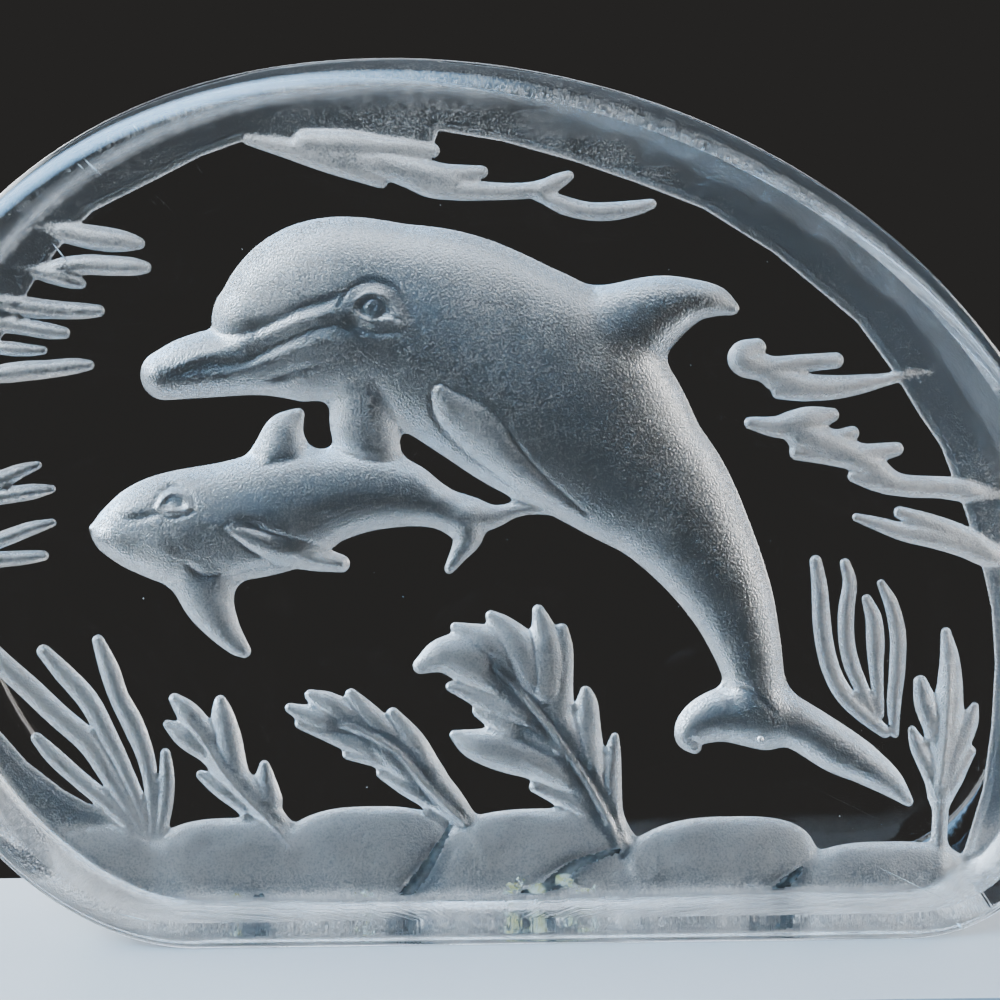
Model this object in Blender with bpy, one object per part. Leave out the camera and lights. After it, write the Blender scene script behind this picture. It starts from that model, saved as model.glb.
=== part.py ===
"""Glass dolphin paperweight: one block of clear cast glass standing on its flat base.

The front, facing -Y, is flat and polished. A relief of two dolphins, weed, waves and rocks is sunk
into the back, facing +Y, and is seen through the glass. Metres, +Z up, the base at z = 0.

The relief is drawn in strokes. A stroke is a curve with a radius at each of its points, and is cut as
a rounded trough as wide as that radius. Its points are counted in squares of a drawing sheet laid on
the back and seen from the front: so many across from the left, so many down, and the radius. The
sheet has SHEET_ACROSS by SHEET_DOWN squares to the block's width and height, so the figures keep
their proportions when the block changes size.
"""

import math

import bmesh
import bpy
import numpy as np
from mathutils.geometry import delaunay_2d_cdt

# Driving sizes of the block, in metres.
BLOCK_WIDTH = 0.150
BLOCK_HEIGHT = 0.1075
BLOCK_THICKNESS = 0.036
FRONT_ROUND = 0.0018  # radius of the front edge
BACK_ROUND = 0.0012  # radius of the back edge

# The outline is a straight base and four arcs that meet at the left, the top and the right.
APEX_ACROSS = 0.427  # share of the width, from the left
LEFT_UP = 0.465  # share of the height of the widest point on the left
RIGHT_UP = 0.325
BASE_LEFT = 0.265  # shares of the width between which the base is flat
BASE_RIGHT = 0.835
ARC_FULLNESS = {"left top": 2.15, "right top": 1.96, "right foot": 2.3, "left foot": 1.87}

# Depths of the relief, in metres.
MOTHER_DEPTH = 0.0062
CALF_DEPTH = 0.0046
WEED_DEPTH = 0.0026
WAVE_DEPTH = 0.0022
ROCK_DEPTH = 0.0030
BORDER_STEP = 0.0007  # the step down from the polished window to the border round it
BORDER_FALL = 0.0012  # how much deeper the border is at the edge of the block
WALL_RISE = 0.0013  # depth of a trough's wall at one millimetre in from its edge

# The drawing sheet.
SHEET_ACROSS = 1140  # squares to the block's width
SHEET_DOWN = 817  # squares to its height
SHEET_MIDDLE = 480.5  # squares across at the block's middle
SHEET_BASE = 900  # squares down at its base
SHEET_PIVOT = (558, 365)  # the sheet is turned about this point
SHEET_LEAN = math.radians(1.08)
SQUARE_ACROSS = BLOCK_WIDTH / SHEET_ACROSS
SQUARE_UP = BLOCK_HEIGHT / SHEET_DOWN

# The larger dolphin.
MOTHER_BODY = [
    [(261, 318, 47), (325, 306, 88), (400, 314, 92), (450, 333, 103), (502, 361, 108), (546, 387, 110),
     (590, 421, 98), (629, 461, 81), (667, 496, 68), (703, 545, 54), (731, 595, 43), (747, 638, 35),
     (756, 672, 30), (762, 700, 27)],
    [(167, 372, 25), (200, 363, 32), (262, 354, 38), (310, 352, 46)],
]
MOTHER_FINS = [
    [(618, 332, 50), (658, 309, 35), (690, 299, 22), (715, 299, 15), (732, 306, 7)],
    [(366, 396, 34), (368, 430, 33), (388, 461, 14)],
    [(757, 706, 32), (799, 722, 25), (840, 747, 24), (865, 761, 20), (891, 779, 14), (911, 799, 5)],
    [(768, 715, 33), (730, 712, 28), (704, 720, 22), (692, 733, 15), (697, 745, 7)],
]
MOTHER_FLIPPER = [(443, 390, 8), (455, 407, 16), (474, 421, 21), (490, 437, 20), (507, 455, 16),
                  (526, 473, 13), (552, 494, 10), (584, 514, 5)]
MOTHER_GROOVES = [
    [(171, 376, 3), (200, 371, 7), (227, 362, 8), (253, 354, 5), (307, 335, 5), (347, 329, 4), (370, 338, 2)],
    [(214, 333, 5), (245, 327, 6), (269, 322, 6), (307, 308, 5), (349, 302, 3)],
    [(267, 380, 3), (285, 371, 5), (312, 362, 3)],
    [(734, 683, 4), (756, 703, 6), (778, 727, 4)],
]
MOTHER_EYE = (380, 307, 12)
MOTHER_LIDS = [
    [(355, 306, 3), (366, 295, 5), (380, 290, 5), (396, 297, 5), (419, 329, 2)],
    [(356, 309, 3), (370, 322, 4), (388, 324, 4), (419, 330, 2)],
]

# The calf in front of her.
CALF_BODY = [
    [(99, 530, 8), (117, 530, 24), (150, 521, 42), (180, 524, 56), (230, 519, 60), (280, 508, 60),
     (320, 495, 49), (360, 488, 42), (400, 490, 34), (430, 500, 24), (455, 510, 19), (470, 514, 16)],
    [(112, 533, 18), (135, 540, 27), (165, 541, 38)],
]
CALF_FINS = [
    [(282, 452, 28), (285, 431, 20), (293, 419, 12), (300, 412, 6)],
    [(203, 572, 34), (209, 600, 25), (222, 624, 17), (236, 642, 11), (244, 649, 7)],
    [(467, 512, 16), (492, 514, 12), (515, 508, 7), (541, 504, 5)],
    [(466, 518, 17), (470, 534, 14), (461, 550, 9), (451, 566, 5)],
]
CALF_FLIPPER = [(224, 521, 8), (265, 539, 14), (305, 553, 14), (342, 561, 9)]
CALF_GROOVES = [
    [(126, 522, 3), (145, 515, 5), (168, 506, 2)],
    [(236, 541, 3), (265, 553, 5), (292, 561, 3)],
]
CALF_EYE = (178, 498, 6)
CALF_LIDS = [[(166, 505, 2), (177, 489, 3), (189, 500, 2)], [(168, 507, 2), (180, 508, 3), (190, 503, 2)]]

# Weed growing from the rocks: blades, and leaves whose lobes meet on a midrib.
BLADES = [
    [(-24, 634, 7), (0, 662, 11), (28, 688, 12), (55, 714, 12), (85, 741, 12), (104, 771, 10), (140, 832, 8)],
    [(42, 650, 7), (62, 672, 10), (86, 699, 11), (105, 734, 10), (125, 775, 8), (145, 825, 7)],
    [(97, 639, 6), (108, 668, 10), (117, 695, 10), (131, 723, 11), (144, 757, 9), (150, 795, 7), (150, 835, 7)],
    [(34, 738, 6), (52, 757, 9), (75, 778, 9), (100, 799, 9), (125, 823, 9), (153, 862, 5)],
    [(164, 753, 5), (165, 780, 8), (162, 812, 8), (153, 848, 6)],
    [(817, 558, 6), (821, 585, 8), (823, 615, 9), (827, 645, 9), (835, 672, 9), (848, 694, 9),
     (866, 712, 8), (887, 729, 6)],
    [(846, 560, 5), (851, 580, 7), (848, 605, 8), (848, 635, 8), (853, 660, 8), (863, 684, 7), (874, 706, 5)],
    [(868, 596, 5), (875, 615, 8), (877, 640, 9), (878, 668, 7), (882, 712, 4)],
    [(882, 580, 4), (892, 600, 7), (899, 630, 8), (899, 665, 8), (896, 700, 7), (897, 731, 4)],
]
LEAVES = [
    # small leaf on the left
    [(205, 735, 13), (188, 713, 12), (174, 698, 6)],
    [(208, 752, 11), (186, 737, 12), (167, 724, 5)],
    [(232, 765, 14), (227, 738, 14), (222, 714, 11), (220, 700, 6)],
    [(270, 800, 12), (265, 780, 10), (264, 765, 5)],
    [(245, 805, 11), (220, 789, 9), (200, 775, 5)],
    [(205, 738, 11), (226, 770, 15), (255, 800, 15), (280, 827, 11), (298, 850, 5)],
    # the leaf right of it
    [(345, 725, 12), (315, 716, 11), (290, 707, 5)],
    [(370, 735, 15), (335, 706, 13), (311, 694, 6)],
    [(400, 750, 16), (371, 717, 13), (352, 693, 6)],
    [(430, 775, 16), (413, 742, 14), (394, 712, 6)],
    [(370, 748, 12), (335, 734, 10), (300, 723, 5)],
    [(405, 765, 12), (375, 757, 9), (348, 754, 5)],
    [(440, 800, 13), (410, 785, 12), (382, 773, 5)],
    [(342, 722, 10), (380, 739, 17), (415, 768, 20), (445, 797, 17), (465, 819, 11), (476, 835, 5)],
    # the broad oak-like leaf
    [(505, 680, 20), (475, 658, 26), (446, 653, 18), (422, 664, 8)],
    [(515, 672, 20), (490, 645, 20), (469, 632, 11), (457, 625, 5)],
    [(530, 680, 24), (521, 650, 22), (506, 628, 14), (493, 614, 6)],
    [(545, 690, 24), (548, 655, 21), (545, 627, 12), (540, 608, 6)],
    [(560, 718, 15), (562, 682, 13), (565, 648, 10), (564, 627, 6)],
    [(590, 765, 18), (589, 728, 14), (589, 703, 11), (588, 690, 6)],
    [(612, 815, 13), (613, 780, 11), (615, 752, 8), (617, 735, 4)],
    [(530, 712, 22), (500, 703, 15), (471, 691, 9), (452, 685, 5)],
    [(552, 742, 22), (520, 729, 17), (495, 716, 11), (479, 710, 5)],
    [(575, 778, 18), (540, 758, 22), (506, 749, 22), (476, 743, 15), (456, 734, 5)],
    [(603, 815, 12), (580, 802, 13), (556, 793, 9), (537, 786, 6)],
    [(500, 672, 20), (545, 715, 25), (575, 760, 25), (598, 798, 18), (614, 825, 12), (626, 852, 5)],
    # the plant on the right
    [(943, 790, 12), (948, 740, 15), (951, 697, 14), (952, 662, 10), (948, 634, 5)],
    [(944, 752, 10), (936, 724, 11), (927, 700, 11), (922, 679, 7)],
    [(942, 790, 9), (931, 766, 9), (920, 743, 8), (914, 727, 4)],
    [(950, 768, 12), (960, 741, 12), (971, 719, 9), (976, 703, 4)],
    [(944, 795, 9), (955, 779, 9), (965, 761, 7), (974, 748, 4)],
    [(942, 785, 10), (943, 812, 8), (942, 838, 8), (944, 862, 9)],
]
MIDRIBS = [
    [(172, 712, 3), (190, 722, 5), (206, 742, 5), (222, 768, 5), (246, 797, 5), (270, 821, 5), (296, 849, 4)],
    [(342, 722, 3), (362, 728, 4), (382, 739, 4), (402, 753, 4), (430, 786, 5), (466, 822, 4)],
    [(497, 665, 3), (512, 679, 4), (545, 716, 5), (575, 758, 5), (600, 798, 5), (624, 848, 4)],
    [(527, 731, 2), (546, 741, 3), (572, 753, 3)],
    [(949, 660, 3), (948, 700, 5), (945, 745, 5), (941, 780, 4)],
]

# Ripples of water at the top, the right and the left.
WAVES = [
    [(252, 138, 6), (290, 147, 10), (330, 158, 13), (360, 169, 11), (384, 181, 6)],
    [(310, 142, 14), (350, 144, 15), (385, 147, 12), (415, 149, 10), (435, 150, 7)],
    [(380, 160, 14), (410, 168, 14), (440, 174, 12), (465, 173, 9), (484, 171, 6)],
    [(398, 166, 12), (429, 184, 11), (458, 188, 11), (490, 190, 9), (520, 190, 8), (542, 188, 8)],
    [(542, 190, 9), (558, 181, 8), (570, 175, 5)],
    [(542, 193, 7), (565, 204, 9), (590, 210, 9), (615, 210, 9), (640, 206, 7), (652, 203, 5)],
    [(757, 350, 9), (741, 359, 14), (765, 368, 11), (800, 366, 10), (834, 362, 8)],
    [(779, 389, 7), (800, 386, 12), (830, 386, 11), (860, 382, 9), (888, 376, 6), (910, 371, 5), (930, 369, 2)],
    [(782, 374, 8), (798, 382, 8)],
    [(751, 420, 6), (780, 424, 11), (806, 418, 14), (832, 412, 7)],
    [(800, 434, 13), (828, 437, 9), (852, 430, 7)],
    [(798, 449, 8), (825, 450, 11), (855, 453, 12), (880, 449, 9), (896, 446, 7)],
    [(854, 473, 6), (880, 478, 11), (910, 483, 11), (940, 484, 11), (970, 488, 11), (1000, 492, 3)],
    [(800, 428, 14), (808, 446, 12)],
    [(850, 456, 10), (880, 472, 11)],
    [(857, 514, 4), (880, 521, 7), (905, 529, 9), (935, 533, 12), (965, 541, 13), (990, 551, 13), (1018, 560, 3)],
    [(900, 509, 6), (925, 518, 9), (950, 528, 11), (975, 540, 12)],
    [(144, 241, 5), (120, 239, 9), (95, 235, 9), (70, 230, 8), (40, 224, 2)],
    [(152, 264, 4), (130, 264, 7), (105, 264, 8), (75, 266, 8), (40, 268, 2)],
    [(84, 281, 4), (65, 278, 7), (40, 274, 8), (15, 268, 2)],
    [(104, 308, 4), (80, 309, 7), (50, 307, 8), (15, 300, 9), (-30, 294, 2)],
    [(68, 330, 5), (45, 326, 8), (15, 320, 9), (-30, 316, 2)],
    [(45, 346, 3), (25, 346, 5), (5, 344, 6), (-32, 342, 2)],
    [(93, 361, 4), (65, 364, 7), (30, 368, 9), (0, 371, 9), (-46, 375, 2)],
    [(38, 462, 4), (20, 468, 7), (0, 477, 9), (-28, 486, 9), (-62, 496, 2)],
    [(52, 486, 4), (30, 489, 8), (0, 494, 8), (-30, 499, 9), (-64, 504, 2)],
    [(52, 520, 4), (30, 526, 7), (0, 537, 8), (-32, 546, 9), (-66, 556, 2)],
    [(43, 553, 5), (25, 555, 7), (0, 557, 8), (-32, 561, 9), (-66, 566, 2)],
]

# Boulders along the base: middle and base of each one on the sheet, half its width, and its height.
ROCKS = [(70, 918, 120, 95), (230, 912, 82, 94), (374, 914, 81, 105), (522, 914, 108, 106),
         (612, 930, 68, 76), (727, 914, 104, 98), (892, 916, 100, 76)]
ROCK_FULLNESS = 3.6
# Dark clefts between them.
CLEFTS = [
    [(433, 850, 4), (425, 868, 8), (407, 894, 8)],
    [(614, 850, 3), (575, 864, 7), (545, 886, 8), (505, 898, 4)],
    [(804, 867, 3), (777, 889, 8), (748, 906, 6)],
    [(262, 896, 5), (240, 901, 5), (222, 903, 3)],
]

# Edge of the polished window, clockwise from its upper left corner. The rocks close it below.
WINDOW = [(96, 209), (153, 181), (204, 155), (249, 139), (300, 150), (350, 156), (400, 152), (436, 143), (441, 130), (505, 141),
          (576, 161), (640, 183), (704, 208), (774, 252), (819, 289), (856, 320), (893, 370), (918, 411),
          (940, 443), (962, 500), (981, 557), (992, 605), (996, 660), (993, 723), (985, 787), (968, 846),
          (950, 880), (700, 893), (400, 898), (170, 890), (105, 816), (60, 790), (24, 762), (-4, 730),
          (-22, 690), (-34, 620), (-38, 540), (-33, 460), (-20, 395), (0, 340), (38, 276), (72, 232)]

# How finely the solid is divided, in metres.
WALL_STEP = 0.0032
OUTLINE_STEP = 0.0020
OUTLINE_SAG = 0.00006
INSIDE_STEP = 0.0020
DETAIL_STEP = 0.00072
CONTOUR_CELL = 0.00045


def to_block(across, down):
    """The place on the back, in metres from its middle and its base, of a point of the sheet."""
    right = np.asarray(across, float) - SHEET_PIVOT[0]
    below = np.asarray(down, float) - SHEET_PIVOT[1]
    turned_right = right * math.cos(SHEET_LEAN) - below * math.sin(SHEET_LEAN)
    turned_below = right * math.sin(SHEET_LEAN) + below * math.cos(SHEET_LEAN)
    x = (SHEET_PIVOT[0] + turned_right - SHEET_MIDDLE) * SQUARE_ACROSS
    z = (SHEET_BASE - SHEET_PIVOT[1] - turned_below) * SQUARE_UP
    return x, z


def smooth_curve(points, steps=4):
    """A finer list of points on a smooth curve through the given ones."""
    points = np.array(points, float)
    ends = np.vstack([2 * points[0] - points[1], points, 2 * points[-1] - points[-2]])
    curve = []
    for a, b, c, d in zip(ends[:-3], ends[1:-2], ends[2:-1], ends[3:]):
        for t in np.arange(steps) / steps:
            curve.append(0.5 * (2 * b + (c - a) * t + (2 * a - 5 * b + 4 * c - d) * t**2
                                + (3 * b - a - 3 * c + d) * t**3))
    curve.append(points[-1])
    return np.array(curve)


def stroke_on_back(stroke):
    """A stroke's points as x, z and radius in metres, made smooth."""
    fine = smooth_curve(stroke)
    x, z = to_block(fine[:, 0], fine[:, 1])
    return np.column_stack([x, z, np.maximum(fine[:, 2], 1) * SQUARE_UP])


def smooth_max(a, b, blend):
    return np.maximum(a, b) + blend / 4 * np.maximum(0, 1 - np.abs(a - b) / blend) ** 2


def stroke_reach(places, stroke, margin=0.004):
    """How far inside the stroke's edge each place is, its distance from the middle in radii, and the radius there."""
    curve = stroke_on_back(stroke)
    inside = np.full(len(places), -margin)
    share = np.full(len(places), 9.0)
    radius = np.full(len(places), curve[:, 2].min())
    widest = curve[:, 2].max() + margin
    near = np.flatnonzero(((places > curve[:, :2].min(axis=0) - widest)
                           & (places < curve[:, :2].max(axis=0) + widest)).all(axis=1))
    spots = places[near]
    best, best_share, best_radius = inside[near], share[near], radius[near]
    for start, end in zip(curve[:-1], curve[1:]):
        length = max(math.dist(start[:2], end[:2]), 1e-9)
        taper = min(max((end[2] - start[2]) / length, -0.9), 0.9)
        along = (spots - start[:2]) @ (end[:2] - start[:2]) / length
        aside = np.abs((spots - start[:2]) @ np.array([end[1] - start[1], start[0] - end[0]])) / length
        at = np.clip(along + taper * aside / math.sqrt(1 - taper * taper), 0, length)
        best = np.maximum(best, start[2] + taper * at - np.hypot(along - at, aside))
        at = np.clip(along + taper * aside**2 / np.maximum(start[2] + taper * along, 1e-6), 0, length)
        found_radius = start[2] + taper * at
        found = np.hypot(along - at, aside) / found_radius
        best_radius = np.where(found < best_share, found_radius, best_radius)
        best_share = np.minimum(best_share, found)
    inside[near], share[near], radius[near] = best, best_share, best_radius
    return inside, share, radius


def trough(share, radius, widest, deepest):
    """Depth of a rounded trough that is as deep as its own width allows."""
    middle = np.minimum(deepest * np.sqrt(radius / widest), 1.15 * radius)
    return middle * np.sqrt(np.clip(1 - np.clip(share, 0, 1) ** 2.4, 0, 1))


def cut_strokes(places, strokes, deepest, blend, depth_blend):
    """Reach and depth of several strokes that run into one another."""
    widest = max(point[2] for stroke in strokes for point in stroke) * SQUARE_UP
    inside, depth = np.full(len(places), -1.0), np.zeros(len(places))
    for stroke in strokes:
        reach, share, radius = stroke_reach(places, stroke)
        inside = smooth_max(inside, reach, blend)
        cut = trough(share, radius, widest, deepest)
        depth = np.where(np.minimum(depth, cut) > 0, smooth_max(depth, cut, depth_blend), np.maximum(depth, cut))
    return inside, depth


def along_groove(places, stroke):
    """One on a groove's line and zero a little beyond its radius."""
    share = stroke_reach(places, stroke, 0.002)[1]
    return np.exp(-((share / 0.8) ** 2))


def dome(places, spot):
    x, z = to_block(spot[0], spot[1])
    share = np.hypot(places[:, 0] - x, places[:, 1] - z) / (spot[2] * SQUARE_UP)
    return np.sqrt(np.clip(1 - share**2, 0, 1))


def cut_dolphin(places, body, fins, flipper, grooves, eye, lids, deepest):
    """A dolphin: its body and fins, the flipper raised on its side, its mouth and its eye."""
    inside, depth = cut_strokes(places, body, deepest, 0.0008, 0.0012)
    fin_inside, fin_depth = cut_strokes(places, fins, deepest * 0.62, 0.0008, 0.0010)
    inside = smooth_max(inside, fin_inside, 0.0010)
    depth = smooth_max(depth, fin_depth, 0.0008)
    reach, share, radius = stroke_reach(places, flipper)
    inside = smooth_max(inside, reach, 0.0005)
    depth = np.maximum(depth, 0.0014 * (reach > 0)) + trough(share, radius, 0.0026, 0.0012)
    depth -= 0.00045 * np.exp(-(((share - 1.15) / 0.14) ** 2))
    for stroke in grooves:
        depth -= 0.00075 * along_groove(places, stroke)
    for stroke in lids:
        depth += 0.00035 * along_groove(places, stroke)
    around = (eye[0], eye[1], eye[2] * 1.5)
    depth += 0.0007 * dome(places, eye) - 0.0005 * dome(places, around)
    return inside, depth


def cut_weed(places):
    inside, depth = cut_strokes(places, BLADES, WEED_DEPTH, 0.0004, 0.0002)
    leaf_inside, leaf_depth = cut_strokes(places, LEAVES, WEED_DEPTH, 0.0004, 0.0006)
    inside, depth = smooth_max(inside, leaf_inside, 0.0004), np.maximum(depth, leaf_depth)
    for stroke in MIDRIBS:
        depth = depth + 0.0005 * along_groove(places, stroke) * (leaf_inside > 0.0003)
    return inside, depth


def cut_rocks(places, to_edge):
    """Reach and depth of the boulders, each a rounded hollow that opens at the base, with clefts between them."""
    inside, depth = np.full(len(places), -1.0), np.zeros(len(places))
    for across, down, half_width, height in ROCKS:
        x, z = to_block(across, down)
        to_side = np.abs(places[:, 0] - x) / (half_width * SQUARE_ACROSS)
        to_top = np.abs(places[:, 1] - z) / (height * SQUARE_UP)
        share = (to_side**ROCK_FULLNESS + to_top**ROCK_FULLNESS) ** (1 / ROCK_FULLNESS)
        reach = (1 - share) * height * SQUARE_UP * 0.9
        inside = np.maximum(inside, reach)
        depth = np.maximum(depth, ROCK_DEPTH * np.sqrt(np.clip(1 - share**2.2, 0, 1)))
    off_edge = np.clip((to_edge - BACK_ROUND) / 0.0015, 0, 1)
    for stroke in CLEFTS:
        depth = depth * (1 - 0.9 * off_edge * along_groove(places, stroke))
    return inside, depth


def window_line():
    x, z = to_block(*np.array(WINDOW, float).T)
    return np.column_stack([x, z])


def inside_line(places, line):
    """Distance in from a closed line, negative outside it."""
    distance = np.full(len(places), 1.0)
    crossings = np.zeros(len(places), int)
    for start, end in zip(line, np.roll(line, -1, axis=0)):
        along = end - start
        t = np.clip((places - start) @ along / max(along @ along, 1e-15), 0, 1)
        distance = np.minimum(distance, np.hypot(*(places - start - t[:, None] * along).T))
        spans = (start[1] > places[:, 1]) != (end[1] > places[:, 1])
        rise = along[1] if abs(along[1]) > 1e-12 else 1e-12
        crossings += spans & (places[:, 0] < start[0] + (places[:, 1] - start[1]) * along[0] / rise)
    return np.where(crossings % 2 == 1, distance, -distance)


def cut_border(places, to_edge):
    """The border round the window: a crisp step, then a slope down to the edge of the block."""
    reach = -inside_line(places, window_line())
    fall = np.clip(reach, 0, None) / (np.clip(reach, 0, None) + to_edge + 1e-6)
    step = BORDER_STEP * (0.55 * np.clip(reach / 0.0002, 0, 1) + 0.45 * np.clip((reach - 0.0007) / 0.0002, 0, 1))
    return reach, np.where(reach > 0, step + BORDER_FALL * fall**1.5, 0)


def relief(places, outline):
    """For each place on the back, how far it is inside the cut part, and the depth of the cut."""
    to_edge = np.maximum(inside_line(places, outline), 0)
    border_inside, border_depth = cut_border(places, to_edge)
    rock_inside, rock_depth = cut_rocks(places, to_edge)
    wave_inside, wave_depth = cut_strokes(places, WAVES, WAVE_DEPTH, 0.0005, 0.0004)
    weed_inside, weed_depth = cut_weed(places)
    mother_inside, mother_depth = cut_dolphin(
        places, MOTHER_BODY, MOTHER_FINS, MOTHER_FLIPPER, MOTHER_GROOVES, MOTHER_EYE, MOTHER_LIDS, MOTHER_DEPTH)
    calf_inside, calf_depth = cut_dolphin(
        places, CALF_BODY, CALF_FINS, CALF_FLIPPER, CALF_GROOVES, CALF_EYE, CALF_LIDS, CALF_DEPTH)
    inside, depth = border_inside, border_depth
    for other_inside, other_depth, share in ((rock_inside, rock_depth, 0.0), (wave_inside, wave_depth, 0.5),
                                             (weed_inside, weed_depth, 0.6), (mother_inside, mother_depth, 0.0),
                                             (calf_inside, calf_depth, 0.0)):
        inside = smooth_max(inside, other_inside, 0.0004)
        other_depth = np.maximum(other_depth, 0)
        depth = np.maximum(depth, other_depth) + share * np.minimum(depth, other_depth)
    reach = np.clip(inside, 0, None) * 1000
    least = 0.00035 * np.clip(reach / 0.4, 0, 1)
    most = WALL_RISE * (0.75 * np.sqrt(reach) + 0.9 * reach)
    return inside, np.where(inside > 0, np.minimum(np.maximum(depth, least), most), 0)


def arc(start, end, corner, fullness, count):
    """Points of a quarter arc from start to end that bulges towards the corner."""
    angles = np.linspace(0, math.pi / 2, count, endpoint=False)
    towards_start = np.cos(angles) ** (2 / fullness)
    towards_end = np.sin(angles) ** (2 / fullness)
    start, end, corner = (np.array(point, float) for point in (start, end, corner))
    centre = start + end - corner
    return centre + np.outer(towards_start, start - centre) + np.outer(towards_end, end - centre)


def even_points(line, step, closed=True):
    """Points at even distances along a line."""
    if closed:
        line = np.vstack([line, line[:1]])
    lengths = np.concatenate([[0], np.cumsum(np.hypot(*np.diff(line, axis=0).T))])
    count = max(3, round(lengths[-1] / step))
    at = np.linspace(0, lengths[-1], count, endpoint=not closed)
    return np.column_stack([np.interp(at, lengths, line[:, 0]), np.interp(at, lengths, line[:, 1])])


def block_outline(step):
    """The block's outline in the XZ plane, anticlockwise from the left end of the flat base."""
    left, right, top = -BLOCK_WIDTH / 2, BLOCK_WIDTH / 2, BLOCK_HEIGHT
    base_left, base_right = left + BASE_LEFT * BLOCK_WIDTH, left + BASE_RIGHT * BLOCK_WIDTH
    apex = left + APEX_ACROSS * BLOCK_WIDTH
    left_up, right_up = LEFT_UP * BLOCK_HEIGHT, RIGHT_UP * BLOCK_HEIGHT
    arcs = [
        arc((base_right, 0), (right, right_up), (right, 0), ARC_FULLNESS["right foot"], 300),
        arc((right, right_up), (apex, top), (right, top), ARC_FULLNESS["right top"], 300),
        arc((apex, top), (left, left_up), (left, top), ARC_FULLNESS["left top"], 300),
        arc((left, left_up), (base_left, 0), (left, 0), ARC_FULLNESS["left foot"], 300),
    ]
    curve = even_points(np.vstack(arcs + [[(base_left, 0)]]), step, closed=False)
    base = even_points(np.array([(base_left, 0), (base_right, 0)]), step, closed=False)
    return np.vstack([curve, base[1:-1]])


def inward(line):
    """Unit normals that point into an anticlockwise closed line."""
    along = np.roll(line, -1, axis=0) - np.roll(line, 1, axis=0)
    normal = np.column_stack([-along[:, 1], along[:, 0]])
    return normal / np.hypot(*normal.T)[:, None]


def contours(field, xs, zs):
    """Closed lines where a field on a grid is zero."""
    joins = {}
    above = field > 0
    of_four = above[:-1, :-1] * 1 + above[1:, 1:] + above[:-1, 1:] + above[1:, :-1]
    mixed = np.argwhere((of_four > 0) & (of_four < 4))

    def crossing(a, b):
        t = field[a] / (field[a] - field[b])
        return (xs[a[1]] + t * (xs[b[1]] - xs[a[1]]), zs[a[0]] + t * (zs[b[0]] - zs[a[0]]))

    places = {}
    for row, column in mixed:
        corners = [(row, column), (row, column + 1), (row + 1, column + 1), (row + 1, column)]
        cuts = []
        for a, b in zip(corners, corners[1:] + corners[:1]):
            if above[a] != above[b]:
                key = (min(a, b), max(a, b))
                places[key] = crossing(*key)
                cuts.append((key, above[a]))
        if len(cuts) == 4 and not above[corners[0]]:
            cuts = cuts[1:] + cuts[:1]
        for (first, leaving), (second, _) in zip(cuts[::2], cuts[1::2]):
            a, b = (first, second) if leaving else (second, first)
            joins[a] = b
    lines = []
    while joins:
        start, here = joins.popitem()
        line = [start]
        while here in joins:
            line.append(here)
            here = joins.pop(here)
        if here == start and len(line) > 5:
            lines.append(np.array([places[key] for key in line]))
    return lines


def simplified(line, sag, step):
    """The closed line with only the points that keep it within the sag, no further apart than the step."""
    kept = [0]
    start = 0
    closed = np.vstack([line, line[:1]])
    lengths = np.concatenate([[0], np.cumsum(np.hypot(*np.diff(closed, axis=0).T))])
    for end in range(2, len(closed)):
        chord = closed[end] - closed[start]
        between = closed[start + 1:end] - closed[start]
        off = np.abs(between[:, 0] * chord[1] - between[:, 1] * chord[0]) / max(np.hypot(*chord), 1e-9)
        if off.max() > sag or lengths[end] - lengths[start] > step:
            kept.append(end - 1)
            start = end - 1
    if len(kept) > 3 and lengths[-1] - lengths[kept[-1]] < 0.0002:
        kept.pop()
    return line[kept]


def cut_lines(outline, edge):
    """Edges of the cut part that lie inside the back's own edge, simplified."""
    low, high = outline.min(axis=0), outline.max(axis=0)
    xs = np.arange(low[0], high[0] + CONTOUR_CELL, CONTOUR_CELL)
    zs = np.arange(low[1], high[1] + CONTOUR_CELL, CONTOUR_CELL)
    grid = np.stack(np.meshgrid(xs, zs), axis=-1).reshape(-1, 2)
    inside = relief(grid, outline)[0]
    field = inside.reshape(len(zs), len(xs))
    lines = []
    for line in contours(field, xs, zs):
        if len(line) * CONTOUR_CELL > 0.003 and inside_line(line, edge).min() > 0.0004:
            lines.append(simplified(line, OUTLINE_SAG, OUTLINE_STEP))
    return lines


def scattered(edge, step):
    """A staggered grid of places inside the back's edge."""
    low, high = edge.min(axis=0), edge.max(axis=0)
    rows = []
    for number, z in enumerate(np.arange(low[1], high[1], step * math.sqrt(3) / 2)):
        xs = np.arange(low[0] + (number % 2) * step / 2, high[0], step)
        rows.append(np.column_stack([xs, np.full(len(xs), z)]))
    return np.vstack(rows)


def clear_of(places, others, gap):
    """The places that keep a gap from the others and from one another, in order."""
    cells = {}
    for other in others:
        cells.setdefault((int(other[0] // gap), int(other[1] // gap)), []).append(other)
    kept = []
    for place in places:
        column, row = int(place[0] // gap), int(place[1] // gap)
        near = [other for i in (-1, 0, 1) for j in (-1, 0, 1) for other in cells.get((column + i, row + j), ())]
        if all((place[0] - other[0]) ** 2 + (place[1] - other[1]) ** 2 >= gap * gap for other in near):
            kept.append(place)
            cells.setdefault((column, row), []).append(place)
    return np.array(kept).reshape(-1, 2)


def beside_stroke(stroke, shares):
    """Points beside a stroke's middle, at shares of its radius."""
    curve = stroke_on_back(stroke)
    along = np.gradient(curve[:, :2], axis=0)
    across = np.column_stack([-along[:, 1], along[:, 0]]) / np.hypot(*along.T)[:, None]
    return np.vstack([curve[:, :2] + across * curve[:, 2:] * share for share in shares])


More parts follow.
